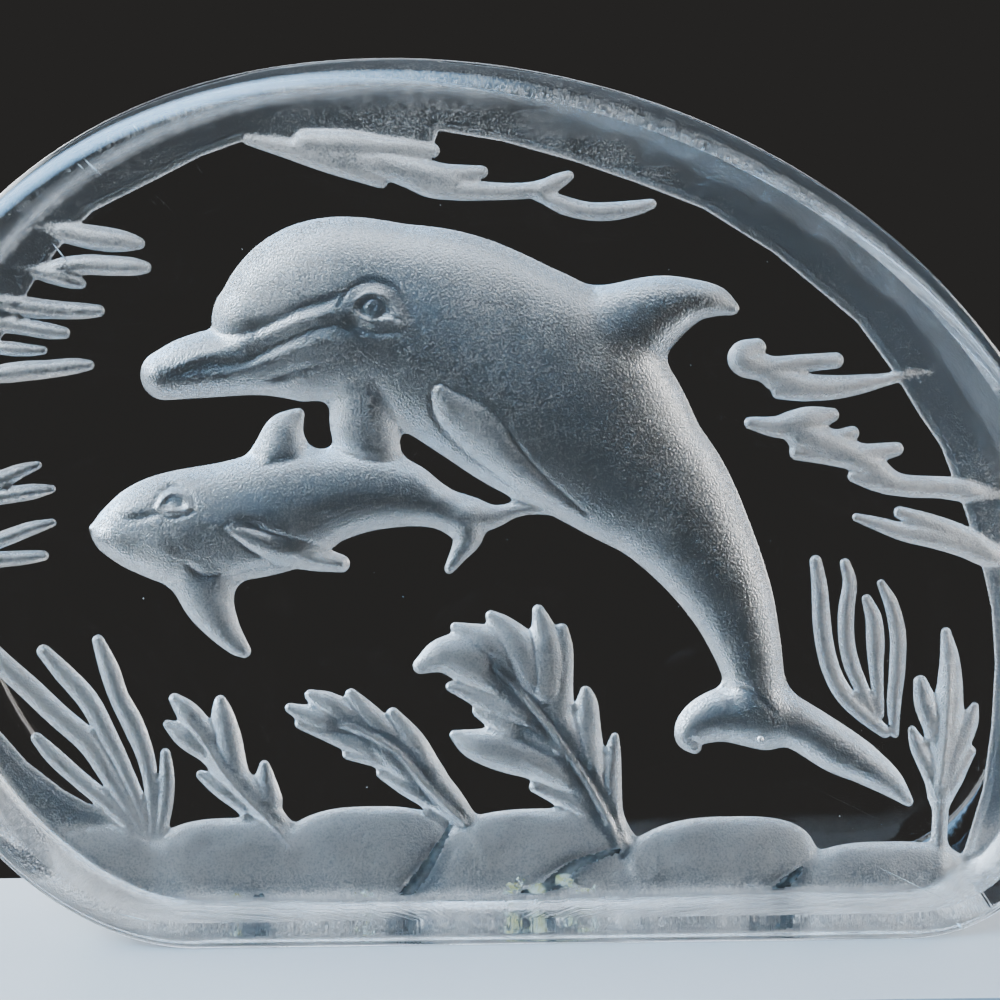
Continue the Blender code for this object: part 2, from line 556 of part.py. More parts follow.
def round_eye(eye):
    turns = np.arange(0, 2 * math.pi, math.pi / 4)
    return np.array([to_block(eye[0] + eye[2] * reach * math.cos(turn), eye[1] + eye[2] * reach * math.sin(turn))
                     for reach in (0, 0.7, 1.4) for turn in turns])


def back_places(outline, edge, lines):
    """Places inside the back's edge where its depth is taken: by the lines, on the details, and between."""
    rims = np.vstack(lines)
    faces = [round_eye(eye) for eye in (MOTHER_EYE, CALF_EYE)]
    faces += [beside_stroke(stroke, (0,)) for stroke in MOTHER_GROOVES + CALF_GROOVES + MOTHER_LIDS]
    faces += [beside_stroke(stroke, (-1.15, -0.8, 0, 0.8, 1.15)) for stroke in (MOTHER_FLIPPER, CALF_FLIPPER)]
    middles = [beside_stroke(stroke, (0,)) for stroke in MIDRIBS + CLEFTS + BLADES + WAVES + LEAVES
               + MOTHER_FINS + CALF_FINS]
    sides = [beside_stroke(stroke, (-1.1, 1.1)) for stroke in MOTHER_GROOVES + MIDRIBS + CLEFTS]
    details = clear_of(np.vstack(faces + middles + sides), rims, DETAIL_STEP)
    beside = np.vstack([line + inward(line) * gap for line in lines for gap in (DETAIL_STEP, -DETAIL_STEP)])
    beside = beside[relief(beside, outline)[0] > DETAIL_STEP * 0.6]
    fine = np.vstack([details, clear_of(beside, np.vstack([rims, details]), DETAIL_STEP)])
    grid = scattered(edge, INSIDE_STEP)
    grid = grid[relief(grid, outline)[0] > DETAIL_STEP]
    return np.vstack([fine, clear_of(grid, np.vstack([rims, fine]), INSIDE_STEP * 0.62)])


def triangulated(edge, lines, places):
    """Constrained triangles over the back: the edge and the lines are kept as edges."""
    rings = [edge] + lines
    points = np.vstack(rings + [places])
    borders, start = [], 0
    for ring in rings:
        borders += [(start + i, start + (i + 1) % len(ring)) for i in range(len(ring))]
        start += len(ring)
    made = delaunay_2d_cdt([tuple(point) for point in points * 1000], borders, [], 0, 1e-5)
    points = np.array([tuple(point) for point in made[0]]) / 1000
    faces = np.array(made[2])
    middles = points[faces].mean(axis=1)
    return points, faces[inside_line(middles, edge) > 0], made[3]


def glass_mesh():
    """The whole block as one closed mesh."""
    outline = block_outline(WALL_STEP)
    edge = outline + inward(outline) * BACK_ROUND
    lines = cut_lines(outline, edge)
    places = back_places(outline, edge, lines)
    places = places[inside_line(places, edge) > 0.0006]
    points, faces, sources = triangulated(edge, lines, places)
    depth = relief(points, outline)[1]
    rims = len(edge)
    for number, found in enumerate(sources):
        if any(rims <= source < rims + sum(len(line) for line in lines) for source in found):
            depth[number] = 0
    back = BLOCK_THICKNESS / 2
    front = -BLOCK_THICKNESS / 2
    mesh = bmesh.new()
    back_verts = [mesh.verts.new((x, back - sunk, z)) for (x, z), sunk in zip(points, depth)]
    for a, b, c in faces:
        mesh.faces.new((back_verts[a], back_verts[b], back_verts[c]))
    at_edge = {source: number for number, found in enumerate(sources) for source in found if source < rims}
    ring = [back_verts[at_edge[number]] for number in range(rims)]
    edge_depth = np.array([depth[at_edge[number]] for number in range(rims)])
    sections = []
    for turn in (30, 60, 90):
        turn = math.radians(turn)
        sections.append((BACK_ROUND * (1 - math.sin(turn)), back - edge_depth - BACK_ROUND * (1 - math.cos(turn))))
    for turn in (90, 60, 30, 0):
        turn = math.radians(turn)
        sections.append((FRONT_ROUND * (1 - math.sin(turn)),
                         np.full(rims, front + FRONT_ROUND * (1 - math.cos(turn)))))
    for inset, heights in sections:
        places = outline + inward(outline) * inset
        following = [mesh.verts.new((x, y, z)) for (x, z), y in zip(places, heights)]
        for number in range(rims):
            after = (number + 1) % rims
            mesh.faces.new((ring[number], ring[after], following[after], following[number]))
        ring = following
    mesh.faces.new(ring)
    bmesh.ops.triangulate(mesh, faces=[face for face in mesh.faces if len(face.verts) > 3])
    bmesh.ops.recalc_face_normals(mesh, faces=mesh.faces)
    return mesh


def glass_material():
    """Clear lead crystal."""
    material = bpy.data.materials.new("clear_glass")
    material.use_nodes = True
    shader = material.node_tree.nodes["Principled BSDF"]
    shader.inputs["Base Color"].default_value = (0.93, 0.95, 0.96, 1)
    shader.inputs["Roughness"].default_value = 0.03
    shader.inputs["Metallic"].default_value = 0.0
    shader.inputs["Transmission Weight"].default_value = 1.0
    shader.inputs["IOR"].default_value = 1.54
    return material


def main():
    for old in list(bpy.data.objects):
        bpy.data.objects.remove(old, do_unlink=True)
    mesh = bpy.data.meshes.new("glass_block")
    built = glass_mesh()
    built.to_mesh(mesh)
    built.free()
    mesh.shade_smooth()
    mesh.set_sharp_from_angle(angle=math.radians(30))
    block = bpy.data.objects.new("glass_block", mesh)
    block.data.materials.append(glass_material())
    bpy.context.scene.collection.objects.link(block)


main()
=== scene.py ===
"""Looks of the glass dolphin paperweight: the block recut finely, clear and frosted glass, light and camera.

The relief is drawn in the same strokes as the part's solid, and cut at a third of a millimetre.
Metres, +Z up, the polished front facing -Y, the relief sunk into the back, facing +Y.
"""

import math

import bmesh
import bpy
import numpy as np
from mathutils import Matrix, Vector
from mathutils.geometry import delaunay_2d_cdt


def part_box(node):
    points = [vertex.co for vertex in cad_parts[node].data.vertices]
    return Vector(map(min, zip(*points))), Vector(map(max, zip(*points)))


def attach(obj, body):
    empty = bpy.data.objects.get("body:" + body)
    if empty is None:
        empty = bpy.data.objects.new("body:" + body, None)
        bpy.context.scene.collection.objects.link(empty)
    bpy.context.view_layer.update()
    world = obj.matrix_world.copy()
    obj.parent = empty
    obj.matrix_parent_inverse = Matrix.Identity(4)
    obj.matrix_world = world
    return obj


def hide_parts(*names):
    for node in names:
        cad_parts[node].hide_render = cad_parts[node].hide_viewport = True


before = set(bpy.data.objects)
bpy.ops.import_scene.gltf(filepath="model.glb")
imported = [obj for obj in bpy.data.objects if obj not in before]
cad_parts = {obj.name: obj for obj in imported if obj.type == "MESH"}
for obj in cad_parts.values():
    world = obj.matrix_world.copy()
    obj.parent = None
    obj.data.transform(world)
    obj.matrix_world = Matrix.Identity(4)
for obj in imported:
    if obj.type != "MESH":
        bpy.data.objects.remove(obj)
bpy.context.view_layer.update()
BLOCK_LOW, BLOCK_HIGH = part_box("glass_block")

# The block's sizes, from the frame.
BLOCK_WIDTH = BLOCK_HIGH.x - BLOCK_LOW.x
BLOCK_HEIGHT = BLOCK_HIGH.z - BLOCK_LOW.z
BLOCK_THICKNESS = BLOCK_HIGH.y - BLOCK_LOW.y
BACK, FRONT = BLOCK_THICKNESS / 2, -BLOCK_THICKNESS / 2
FRONT_INSET = 0.0034  # how far in the front edge begins to turn
FRONT_ROUND = 0.0012  # and how deep it turns
BACK_ROUND = 0.0012

# The outline is a straight base and four arcs that meet at the left, the top and the right.
APEX_ACROSS = 0.427  # share of the width, from the left
LEFT_UP = 0.465  # share of the height of the widest point on the left
RIGHT_UP = 0.325
BASE_LEFT = 0.265  # shares of the width between which the base is flat
BASE_RIGHT = 0.835
ARC_FULLNESS = {"left top": 2.15, "right top": 1.96, "right foot": 2.3, "left foot": 1.87}
ARC_POINTS = 300

# Depths of the relief, in metres.
MOTHER_DEPTH = 0.0062
CALF_DEPTH = 0.0046
FIN_SHARE = 0.62  # depth of the fins, as a share of the body's
WEED_DEPTH = 0.0026
WAVE_DEPTH = 0.0022
ROCK_DEPTH = 0.0030
ROCK_UNEVEN = 0.00010
BORDER_STEP = 0.0007  # the step down from the polished window to the border round it
BORDER_FALL = 0.0012  # how much deeper the border is at the edge of the block
WALL_RISE = 0.0013  # depth of a trough's wall at one millimetre in from its edge
LEAST_DEPTH = 0.00035  # of anything that is cut, from 0.4 mm in
FLIPPER_RISE = 0.0006
FLIPPER_SHADOW = 0.00016  # the hollow round a flipper
GROOVE_DEPTH = 0.00034
RIDGE_RISE = 0.00020
EYEBALL_RISE = 0.00042
SOCKET_DEPTH = 0.00034
PUPIL_DEPTH = 0.00018
LID_RISE = 0.00034
BROW_DEPTH = 0.00028
RIB_RISE = 0.00050
CLEFT_DEPTH = 0.00055
WAVE_CREASE = 0.00016  # how far the creases between strokes stand up in the cut
BLADE_CREASE = 0.00022
LEAF_CREASE = 0.16  # the same as a share of the depth
VALLEY_SHARE = 0.40

# How softly strokes run into one another: at their edges, and in depth.
BODY_BLENDS = (0.0008, 0.0012)
FIN_BLENDS = (0.0008, 0.0010)
WAVE_BLENDS = (0.0006, 0.0006)
BLADE_BLENDS = (0.0004, 0.0004)
LEAF_BLENDS = (0.0008, 0.0007)
ROCK_BLEND = 0.0011
WALL_BLEND = 0.0005
CREASE_WIDTH = 0.00025  # difference in depth within which two strokes meet in a crease

# The drawing sheet.
SHEET_ACROSS = 1140  # squares to the block's width
SHEET_DOWN = 817  # squares to its height
SHEET_MIDDLE = 480.5  # squares across at the block's middle
SHEET_BASE = 900  # squares down at its base
SHEET_PIVOT = (558, 365)  # the sheet is turned about this point
SHEET_LEAN = math.radians(1.08)
SQUARE_ACROSS = BLOCK_WIDTH / SHEET_ACROSS
SQUARE_UP = BLOCK_HEIGHT / SHEET_DOWN
WIDE_STROKE = 30  # squares from which a stroke's curve is divided more finely


def drawn(text):
    """Strokes of the drawing, parted by semicolons: across, down and half width at each point."""
    return [[tuple(map(int, point.split())) for point in stroke.split(",")] for stroke in text.split(";")]


MOTHER = {  # the larger dolphin
    "depth": MOTHER_DEPTH,
    "frost_and_painted_light": 0.32,  # how thickly it is frosted
    "eye": (378, 307, 9),
    "body": drawn("""
        261 318 47, 325 306 88, 400 314 92, 450 333 103, 502 361 108, 546 387 110, 590 421 98, 629 461 81,
        667 496 68, 703 545 54, 731 595 43, 747 638 35, 756 672 30, 762 700 27;
        167 372 25, 200 363 32, 262 354 38, 310 352 46"""),
    "fins": drawn("""
        618 332 50, 658 309 35, 690 299 22, 715 299 15, 732 306 7;
        366 396 34, 368 430 33, 388 461 14;
        757 706 32, 799 722 25, 840 747 24, 865 761 20, 891 779 14, 911 799 5;
        768 715 33, 730 712 28, 704 720 22, 692 733 15, 697 745 7"""),
    "flipper": drawn("""
        443 390 8, 455 407 16, 474 421 21, 490 437 20, 507 455 16, 526 473 13, 552 494 10, 584 514 5""")[0],
    "grooves": drawn("""
        170 375 2, 188 370 6, 212 363 9, 245 361 6, 269 350 6, 295 337 7, 323 326 7, 344 325 7, 362 333 6,
        374 346 2;
        204 330 4, 225 332 7, 260 327 8, 285 316 8, 311 306 8, 330 301 7, 346 292 3;
        260 381 2, 285 373 6, 311 366 6, 327 362 2;
        728 690 3, 742 683 6, 757 692 5, 775 708 2"""),
    "ridges": drawn("""
        176 366 2, 200 356 7, 235 346 9, 270 334 8, 305 320 8, 335 312 6, 352 311 2;
        188 383 2, 225 375 7, 260 365 7, 295 350 7, 330 341 8, 352 343 3"""),
    "lids": drawn("""
        356 305 1, 363 297 2, 375 292 3, 388 296 3, 400 308 3, 419 328 1;
        356 306 1, 363 314 2, 375 320 3, 390 319 3, 402 321 2, 419 329 1"""),
    "brows": drawn("""
        345 303 2, 354 289 4, 374 281 5, 394 286 5, 408 301 4, 424 324 2;
        350 312 2, 362 325 4, 382 331 4, 404 331 2"""),
}
CALF = {  # the calf in front of her
    "depth": CALF_DEPTH,
    "frost_and_painted_light": 0.3,  # how thickly it is frosted
    "eye": (178, 498, 6),
    "body": drawn("""
        94 526 5, 106 528 15, 124 527 29, 150 521 42, 180 524 56, 230 519 60, 280 508 60, 320 495 49, 360 488 42,
        400 490 34, 430 500 24, 455 510 19, 470 514 16;
        112 533 18, 135 540 27, 165 541 38"""),
    "fins": drawn("""
        282 452 28, 285 431 20, 293 419 12, 300 412 6;
        203 572 34, 209 600 25, 222 624 17, 236 642 11, 244 649 7;
        467 512 16, 492 514 12, 515 508 7, 541 504 5;
        466 518 17, 470 534 14, 461 550 9, 451 566 5"""),
    "flipper": drawn("""
        232 524 3, 252 533 8, 275 543 12, 305 553 14, 342 561 9""")[0],
    "grooves": drawn("""
        106 514 3, 118 512 6, 132 516 6, 150 513 6, 167 507 2;
        226 574 2, 250 566 6, 276 562 6, 300 561 3;
        232 512 2, 262 524 7, 290 540 7, 318 546 3;
        190 560 3, 205 572 7, 222 570 3;
        268 462 3, 283 458 7, 300 455 3"""),
    "ridges": drawn("""
        120 528 2, 140 533 8, 165 545 8, 185 555 2;
        184 508 3, 210 515 14, 240 527 13, 268 541 9, 290 552 3"""),
    "lids": drawn("""
        161 505 2, 168 495 3, 178 490 3, 188 496 3, 194 504 2;
        163 506 2, 176 507 3, 193 505 2"""),
    "brows": drawn("""
        156 502 2, 165 488 3, 178 483 4, 192 489 3, 199 500 2;
        163 512 2, 178 514 3, 195 510 2"""),
}

# Weed growing from the rocks: blades at the left and the right, and leaves whose lobes meet on a midrib. The leaves
# are, in turn, a small one at the left, the one right of it, the broad oak-like one, and the plant at the right.
BLADES = drawn("""
    -24 634 7, 0 662 11, 28 688 12, 55 714 12, 85 741 12, 104 771 10, 140 832 8;
    42 650 7, 62 672 10, 86 699 11, 105 734 10, 125 775 8, 145 825 7;
    97 639 6, 108 668 10, 117 695 10, 131 723 11, 144 757 9, 150 795 7, 150 835 7;
    34 738 6, 52 757 9, 75 778 9, 100 799 9, 125 823 9, 153 862 5;
    164 753 5, 165 780 8, 162 812 8, 153 848 6;
    817 558 6, 821 585 8, 823 615 9, 827 645 9, 835 672 9, 848 694 9, 866 712 8, 887 729 6;
    846 560 5, 851 580 7, 848 605 8, 848 635 8, 853 660 8, 863 684 7, 874 706 5;
    868 596 5, 875 615 8, 877 640 9, 878 668 7, 882 712 4;
    882 580 4, 892 600 7, 899 630 8, 899 665 8, 896 700 7, 897 731 4""")
LEAVES = drawn("""
    205 735 13, 188 713 12, 174 698 6;
    208 752 11, 186 737 12, 167 724 5;
    232 765 14, 227 738 14, 222 714 11, 220 700 6;
    270 800 12, 265 780 10, 264 765 5;
    245 805 11, 220 789 9, 200 775 5;
    205 738 11, 226 770 15, 255 800 15, 280 827 11, 298 854 6;
    345 725 12, 315 716 11, 290 707 5;
    370 735 15, 335 706 13, 311 694 6;
    400 750 16, 371 717 13, 352 693 6;
    430 775 16, 413 742 14, 394 712 6;
    370 748 12, 335 734 10, 300 723 5;
    405 765 12, 375 757 9, 348 754 5;
    440 800 13, 410 785 12, 382 773 5;
    342 722 10, 380 739 17, 415 768 20, 445 797 17, 467 822 12, 486 846 9, 498 866 4;
    505 680 20, 475 658 26, 446 653 18, 422 664 8;
    515 672 20, 490 645 20, 469 632 11, 457 625 5;
    530 680 24, 521 650 22, 506 628 14, 493 614 6;
    545 690 24, 548 655 21, 545 627 12, 540 608 6;
    560 718 15, 562 682 13, 565 648 10, 564 627 6;
    590 765 18, 589 728 14, 589 703 11, 588 690 6;
    612 815 13, 613 780 11, 615 752 8, 617 735 4;
    530 712 22, 500 703 15, 471 691 9, 452 685 5;
    552 742 22, 520 729 17, 495 716 11, 479 710 5;
    575 778 18, 540 758 22, 506 749 22, 476 743 15, 456 734 5;
    603 815 12, 580 802 13, 556 793 9, 537 786 6;
    500 672 20, 545 715 25, 575 760 25, 598 798 18, 616 828 13, 633 856 10, 645 878 4;
    943 790 12, 948 740 15, 951 697 14, 951 658 10, 947 629 5;
    944 752 10, 936 724 11, 927 700 11, 922 679 7;
    942 790 9, 931 766 9, 920 743 8, 914 727 4;
    950 768 12, 960 741 12, 971 719 9, 976 703 4;
    944 795 9, 955 779 9, 965 761 7, 974 748 4;
    942 785 10, 943 812 8, 942 838 8, 944 862 9""")
MIDRIBS = drawn("""
    172 712 3, 190 722 5, 206 742 5, 222 768 5, 246 797 5, 270 821 5, 296 849 4;
    342 722 3, 362 728 4, 382 739 4, 402 753 4, 430 786 5, 466 822 4;
    497 665 3, 512 679 4, 545 716 5, 575 758 5, 600 798 5, 624 848 4;
    527 731 2, 546 741 3, 572 753 3;
    949 660 3, 948 700 5, 945 745 5, 941 780 4""")
MIDRIB_VALLEYS = (0.35, 0.7, 1.0, 0.8, 0.2)  # how deep the valley beside each one lies

# Ripples of water at the top, the right and the left.
WAVES = drawn("""
    300 146 10, 345 156 15, 385 164 14, 420 172 14, 455 180 12;
    252 138 6, 290 147 10, 330 158 13, 360 169 11, 384 181 6;
    310 142 14, 350 144 15, 385 147 12, 415 149 10, 435 150 7;
    380 160 14, 410 168 14, 440 174 12, 465 173 9, 484 171 6;
    398 166 12, 429 184 11, 458 188 11, 490 190 9, 520 190 8, 542 188 8;
    542 190 9, 558 181 8, 570 175 5;
    542 193 7, 565 204 9, 590 210 9, 615 210 9, 640 206 7, 652 203 5;
    757 345 9, 745 356 17, 768 365 12, 800 361 9, 835 358 8;
    772 378 8, 800 381 9, 838 380 7, 868 378 5;
    779 389 7, 800 386 12, 830 386 11, 860 382 9, 888 376 6, 910 371 5, 930 369 2;
    765 368 11, 785 377 12, 805 384 12;
    751 420 6, 780 424 11, 806 418 14, 832 412 7;
    800 434 13, 828 437 9, 852 430 7;
    798 449 8, 825 450 11, 855 453 12, 880 449 9, 896 446 7;
    854 473 6, 880 478 11, 910 483 11, 940 484 11, 970 488 11, 1000 492 3;
    790 422 12, 815 436 16, 845 448 14, 870 462 13, 890 478 11;
    857 514 4, 880 521 7, 905 529 9, 935 533 12, 965 541 13, 990 551 13, 1018 560 3;
    900 509 6, 925 518 9, 950 528 11, 975 540 12;
    142 241 6, 128 239 10, 110 237 12, 90 234 12, 65 229 10, 40 224 2;
    148 265 6, 135 264 9, 112 263 10, 90 262 10, 65 264 9, 40 266 2;
    84 281 5, 70 276 9, 48 270 9, 15 264 2;
    101 308 6, 85 308 8, 60 307 9, 30 304 10, 0 298 9, -30 294 2;
    66 330 6, 50 328 8, 25 324 8, 0 320 8, -30 316 2;
    45 347 4, 30 347 6, 5 345 7, -32 342 2;
    91 362 5, 75 363 8, 50 366 9, 25 368 10, 0 371 9, -46 375 2;
    38 462 4, 20 468 7, 0 477 9, -28 486 9, -62 496 2;
    52 486 4, 30 489 8, 0 494 8, -30 499 9, -64 504 2;
    52 520 4, 30 526 7, 0 537 8, -32 546 9, -66 556 2;
    43 553 5, 25 555 7, 0 557 8, -32 561 9, -66 566 2""")

# Boulders along the base: middle and base of each one on the sheet, half its width, its height, and its lean.
ROCKS = [(66, 918, 112, 95, 0.0), (222, 914, 96, 95, 0.12), (350, 914, 103, 107, 0.22), (500, 914, 120, 105, 0.45),
         (628, 930, 66, 74, 0.1), (697, 914, 110, 98, 0.4), (880, 916, 100, 76, 0.15)]
# Clefts between them: shallow grooves, made dark with painted shade.
CLEFTS = drawn("""
    452 826 3, 440 846 5, 427 868 8, 405 896 8;
    622 848 2, 600 854 5, 573 865 7, 545 886 8, 505 898 4;
    804 866 3, 790 878 7, 772 892 8, 735 904 5;
    262 896 5, 240 901 5, 222 903 3""")

# Edge of the polished window, clockwise from its upper left corner. The rocks close it below.
WINDOW = drawn("""
    96 209, 153 181, 204 155, 249 139, 300 150, 350 156, 400 152, 436 143, 441 130, 505 141, 576 161, 640 183,
    704 208, 774 252, 819 289, 856 320, 893 370, 918 411, 940 443, 962 500, 981 557, 992 605, 996 660, 993 723,
    985 787, 968 846, 950 880, 700 893, 400 898, 170 890, 105 816, 60 790, 24 762, -4 730, -22 690, -34 620,
    -38 540, -33 460, -20 395, 0 340, 38 276, 72 232""")[0]

# Powers that round the sections of the cut.
ROCK_FULLNESS = 2.9  # of a boulder's outline
ROCK_ROUNDNESS = 2.6  # of a boulder's section
TROUGH_FULLNESS = 2.0  # of a stroke's section, for the distance from its middle
TROUGH_POWER = 0.6  # and for its depth

# How finely the block is divided, in metres.
WALL_STEP = 0.0032  # for the distance to the edge, as in the solid
FINE_WALL_STEP = 0.0008
OUTLINE_STEP = 0.0005
OUTLINE_SAG = 0.000012
SHORTEST_EDGE = 0.0002
INSIDE_STEP = 0.00036
DETAIL_STEP = 0.00020
RING_STEP = 0.00018  # the first ring of points inside a cut's edge
WINDOW_STEP = 0.004
CONTOUR_CELL = 0.00026
WALL_ROWS = 14
BACK_ROUND_ROWS = 6
FRONT_ROUND_ROWS = 12
FROSTED_ROWS = 3  # rows of the back round that are frosted
WALL_SWELL = 0.00003  # how far the fire-polished wall swells and ripples
WALL_RIPPLE = 0.000006

# Painted shade in the clefts, and lime left by water along the base: across, down and size on the drawing sheet.
CLEFT_SHADE_SPOTS = [(447, 836, 4)]
LIME_SPOTS = [(515, 886, 26), (568, 880, 14), (590, 889, 16), (752, 889, 9), (368, 897, 24), (235, 898, 14)]
SPOT_FLATNESS = 2.2
LIME_POINTS = 260
CLEFT_SHADE_FROM = 0.0008  # height above the base from which the clefts are painted dark as shade
CLEFT_SHADE_OVER = 0.42  # amounts of painted shade and of lime from which a place is covered
LIME_OVER = 0.40
# Scratches and chips on the front, by their two ends on the photograph, and half their widths in metres.
SCRATCHES = [((52, 242), (68, 262), 0.00010), ((84, 158), (103, 176), 0.00016), ((78, 163), (86, 171), 0.00010),
             ((133, 122), (141, 134), 0.00012), ((865, 862), (953, 905), 0.00005), ((105, 920), (155, 932), 0.00009),
             ((960, 926), (969, 934), 0.00022)]
FRONT_SQUARE = 0.00012  # a pixel of the photograph at the front, in metres
UNDER_FRONT = 0.0004  # how far scratches and dust lie under the front
SCRATCH_DEPTH = 0.0001
DUST_COUNT = 34
DUST_ACROSS, DUST_DOWN = (60, 960), (120, 880)
DUST_LEAST, DUST_MORE = 0.00003, 0.00006
BUBBLE = (759, 731, 0.00048, 0.0105)  # across and down on the sheet, its radius, and how far it lies behind the middle
STREAKY_FROM = 0.005  # the wall is streaky to the right of this
LEAST_STREAKS = 0.12
BASE_STREAKS = 1.5
RUN_ALONG = 0.06  # streaks run this much more slowly from back to front
STREAK_WIDTH = 0.00040
STREAK_HEIGHT = 0.00004

# Finish.
CRYSTAL_IOR = 1.54
CRYSTAL_TINT = (0.975, 0.988, 0.995, 1)
FROST_FINE = 0.31  # roughness between the grains, and on them
FROST_COARSE = 0.78
FROST_DULL = (0.40, 0.45, 0.50, 1)
FROST_BRIGHT = (0.98, 0.99, 1.0, 1)
GRAIN_SIZE = 0.00014
GRAIN_HEIGHT = 0.00010
CLOUD_SIZE = 0.0025
LIME_YELLOW = (0.40, 0.36, 0.14, 1)
LIME_WHITE = (0.48, 0.49, 0.42, 1)
# Painted shade for the clefts: near-black, a little paler in spots.
CLEFT_SHADE_DARK = (0.012, 0.012, 0.012, 1)
CLEFT_SHADE_PALE = (0.09, 0.09, 0.085, 1)
DUST_GREY = (0.45, 0.52, 0.55, 1)
DUST_WHITE = (0.95, 1.0, 1.0, 1)

# How thickly each form is frosted, and how much its creases, ribs, lids and so on change that. The frost sets the
# colour as well, so this paints shade into creases, valleys, grooves, clefts, eyes and the ring round a flipper, and
# highlights onto ribs, lids, rims and flippers.
HAZE = {"border": 0.14, "rocks": 0.95, "waves": 1.0, "weed": 1.05}
FROST_AND_PAINTED_LIGHT_CHANGE = {"wave crease": -0.3, "blade crease": -0.25, "leaf crease": -0.6, "valley": -1.3, "rib": 1.2,
               "flipper": 0.25, "round flipper": -0.3, "rim": 0.5, "groove": -0.55, "eye": -0.5, "lid": 0.35,
               "cleft": -0.9, "foot": -0.3}
HAZE_ELSEWHERE = 0.6  # on the wall and the front
RIM_WIDTH = 0.00032  # of the painted highlight: a line of thicker, lighter frost along the window's edge
FORM_RIM = 0.0015  # and along a dolphin's
FOOT_HEIGHT, FOOT_WIDTH = 0.0024, 0.0018  # of the band along the base where the frost is thinner and darker
# Where the frosting is thicker or thinner than usual, which on the bodies is also painted light and shade, such as the
# lighter top of the forehead and the darker root of the dorsal fin: across, down, size on the sheet, and how much.
BORDER_CLOUDS = [(500, 110, 110, 0.25), (640, 150, 60, 0.15), (10, 800, 90, 0.1), (990, 560, 120, 0.2),
                 (215, 125, 60, -0.15), (790, 220, 90, -0.15), (380, 100, 70, 0.15), (930, 330, 80, -0.12)]
BODY_CLOUDS_AND_PAINTED_LIGHT = [(265, 265, 75, 0.35), (640, 340, 60, -0.25), (745, 600, 60, -0.18), (600, 470, 60, -0.12),
               (560, 380, 60, 0.06), (150, 520, 50, 0.3), (480, 290, 60, 0.05), (560, 640, 30, -0.2),
               (310, 370, 45, 0.2), (225, 610, 45, 0.45), (285, 430, 30, 0.35), (500, 510, 45, 0.25),
               (370, 420, 40, 0.25), (30, 300, 90, -0.5), (20, 500, 80, -0.5)]

# Studio.
WORLD_DARK = (0.024, 0.023, 0.022, 1)
WORLD_BRIGHT = (0.50, 0.62, 0.78, 1)
WORLD_DARK_TO = 0.25  # sine of the height in the sky up to which it is dark
WORLD_BRIGHT_FROM = 0.9
LIGHT_FADE = 0.3  # share of a light's width and height over which its face fades out
LIGHTS = [
    # name, place, size, brightness of its face, colour
    ("left_window", (-0.55, -0.02, 0.34), (0.6, 0.5), 35.0, (0.82, 0.92, 1.0)),
    ("front_sky", (-0.36, -0.50, 0.40), (1.0, 0.36), 35.0, (0.29, 0.61, 1.0)),
    ("back_left", (-0.40, 0.40, 0.36), (0.4, 0.3), 22.0, (0.90, 0.96, 1.0)),
    ("right_panel", (0.52, 0.05, 0.22), (0.35, 0.4), 16.0, (1.0, 0.97, 0.93)),
    ("back_right", (0.42, 0.42, 0.12), (0.25, 0.25), 21.0, (1.0, 0.97, 0.94)),
    ("back_top", (0.06, 0.46, 0.44), (0.8, 0.30), 6.0, (0.86, 0.93, 1.0)),
]
FLOOR_MIDDLE = (0.0, -0.0100)
FLOOR_SIZE = (0.105, 0.0315)
FLOOR_TOP = -0.00003
FLOOR_THICKNESS = 0.006
FLOOR_DULL = (0.29, 0.29, 0.29, 1)
FLOOR_PALE = (0.33, 0.33, 0.33, 1)

# The camera, found from the photograph: where it stands, where it looks and how long its lens is.
CAMERA_PLACE = (0.008344, -0.264269, 0.067159)
CAMERA_YAW = math.radians(-1.25)
CAMERA_PITCH = math.radians(-2.97)
CAMERA_ROLL = math.radians(-1.106)
CAMERA_FOCAL_SHARE = 2.05128
SENSOR_WIDTH = 36.0
MM_PER_M = 1000


def turned_on_sheet(across, down):
    """Squares right of and below the sheet's pivot, with the sheet upright."""
    right, below = across - SHEET_PIVOT[0], down - SHEET_PIVOT[1]
    return (right * math.cos(SHEET_LEAN) - below * math.sin(SHEET_LEAN),
            right * math.sin(SHEET_LEAN) + below * math.cos(SHEET_LEAN))


def to_block(across, down):
    """The place on the back, in metres from its middle and its base, of a point of the sheet."""
    right, below = turned_on_sheet(np.asarray(across, float), np.asarray(down, float))
    return ((SHEET_PIVOT[0] + right - SHEET_MIDDLE) * SQUARE_ACROSS,
            (SHEET_BASE - SHEET_PIVOT[1] - below) * SQUARE_UP)


def smooth_curve(points, steps):
    """A finer list of points on a smooth curve through the given ones."""
    points = np.array(points, float)
    ends = np.vstack([2 * points[0] - points[1], points, 2 * points[-1] - points[-2]])
    curve = []
    for a, b, c, d in zip(ends[:-3], ends[1:-2], ends[2:-1], ends[3:]):
        for t in np.arange(steps) / steps:
            curve.append(0.5 * (2 * b + (c - a) * t + (2 * a - 5 * b + 4 * c - d) * t**2
                                + (3 * b - a - 3 * c + d) * t**3))
    curve.append(points[-1])
    return np.array(curve)


def stroke_on_back(stroke):
    """A stroke's points as x, z and radius in metres, made smooth; a wide one is divided more finely."""
    widest = max(point[2] for point in stroke)
    fine = smooth_curve(stroke, 4 if widest < WIDE_STROKE else 10)
    x, z = to_block(fine[:, 0], fine[:, 1])
    return np.column_stack([x, z, np.maximum(fine[:, 2], 1) * SQUARE_UP])


def smooth_max(a, b, blend):
    """The larger of two fields, rounded over where they are nearly the same."""
    return np.maximum(a, b) + blend / 4 * np.maximum(0, 1 - np.abs(a - b) / blend) ** 2


def smooth_min(a, b, blend):
    return -smooth_max(-a, -b, blend)


def bell(offset, width):
    """One in the middle, falling softly to zero beyond the width."""
    return np.exp(-((offset / width) ** 2))


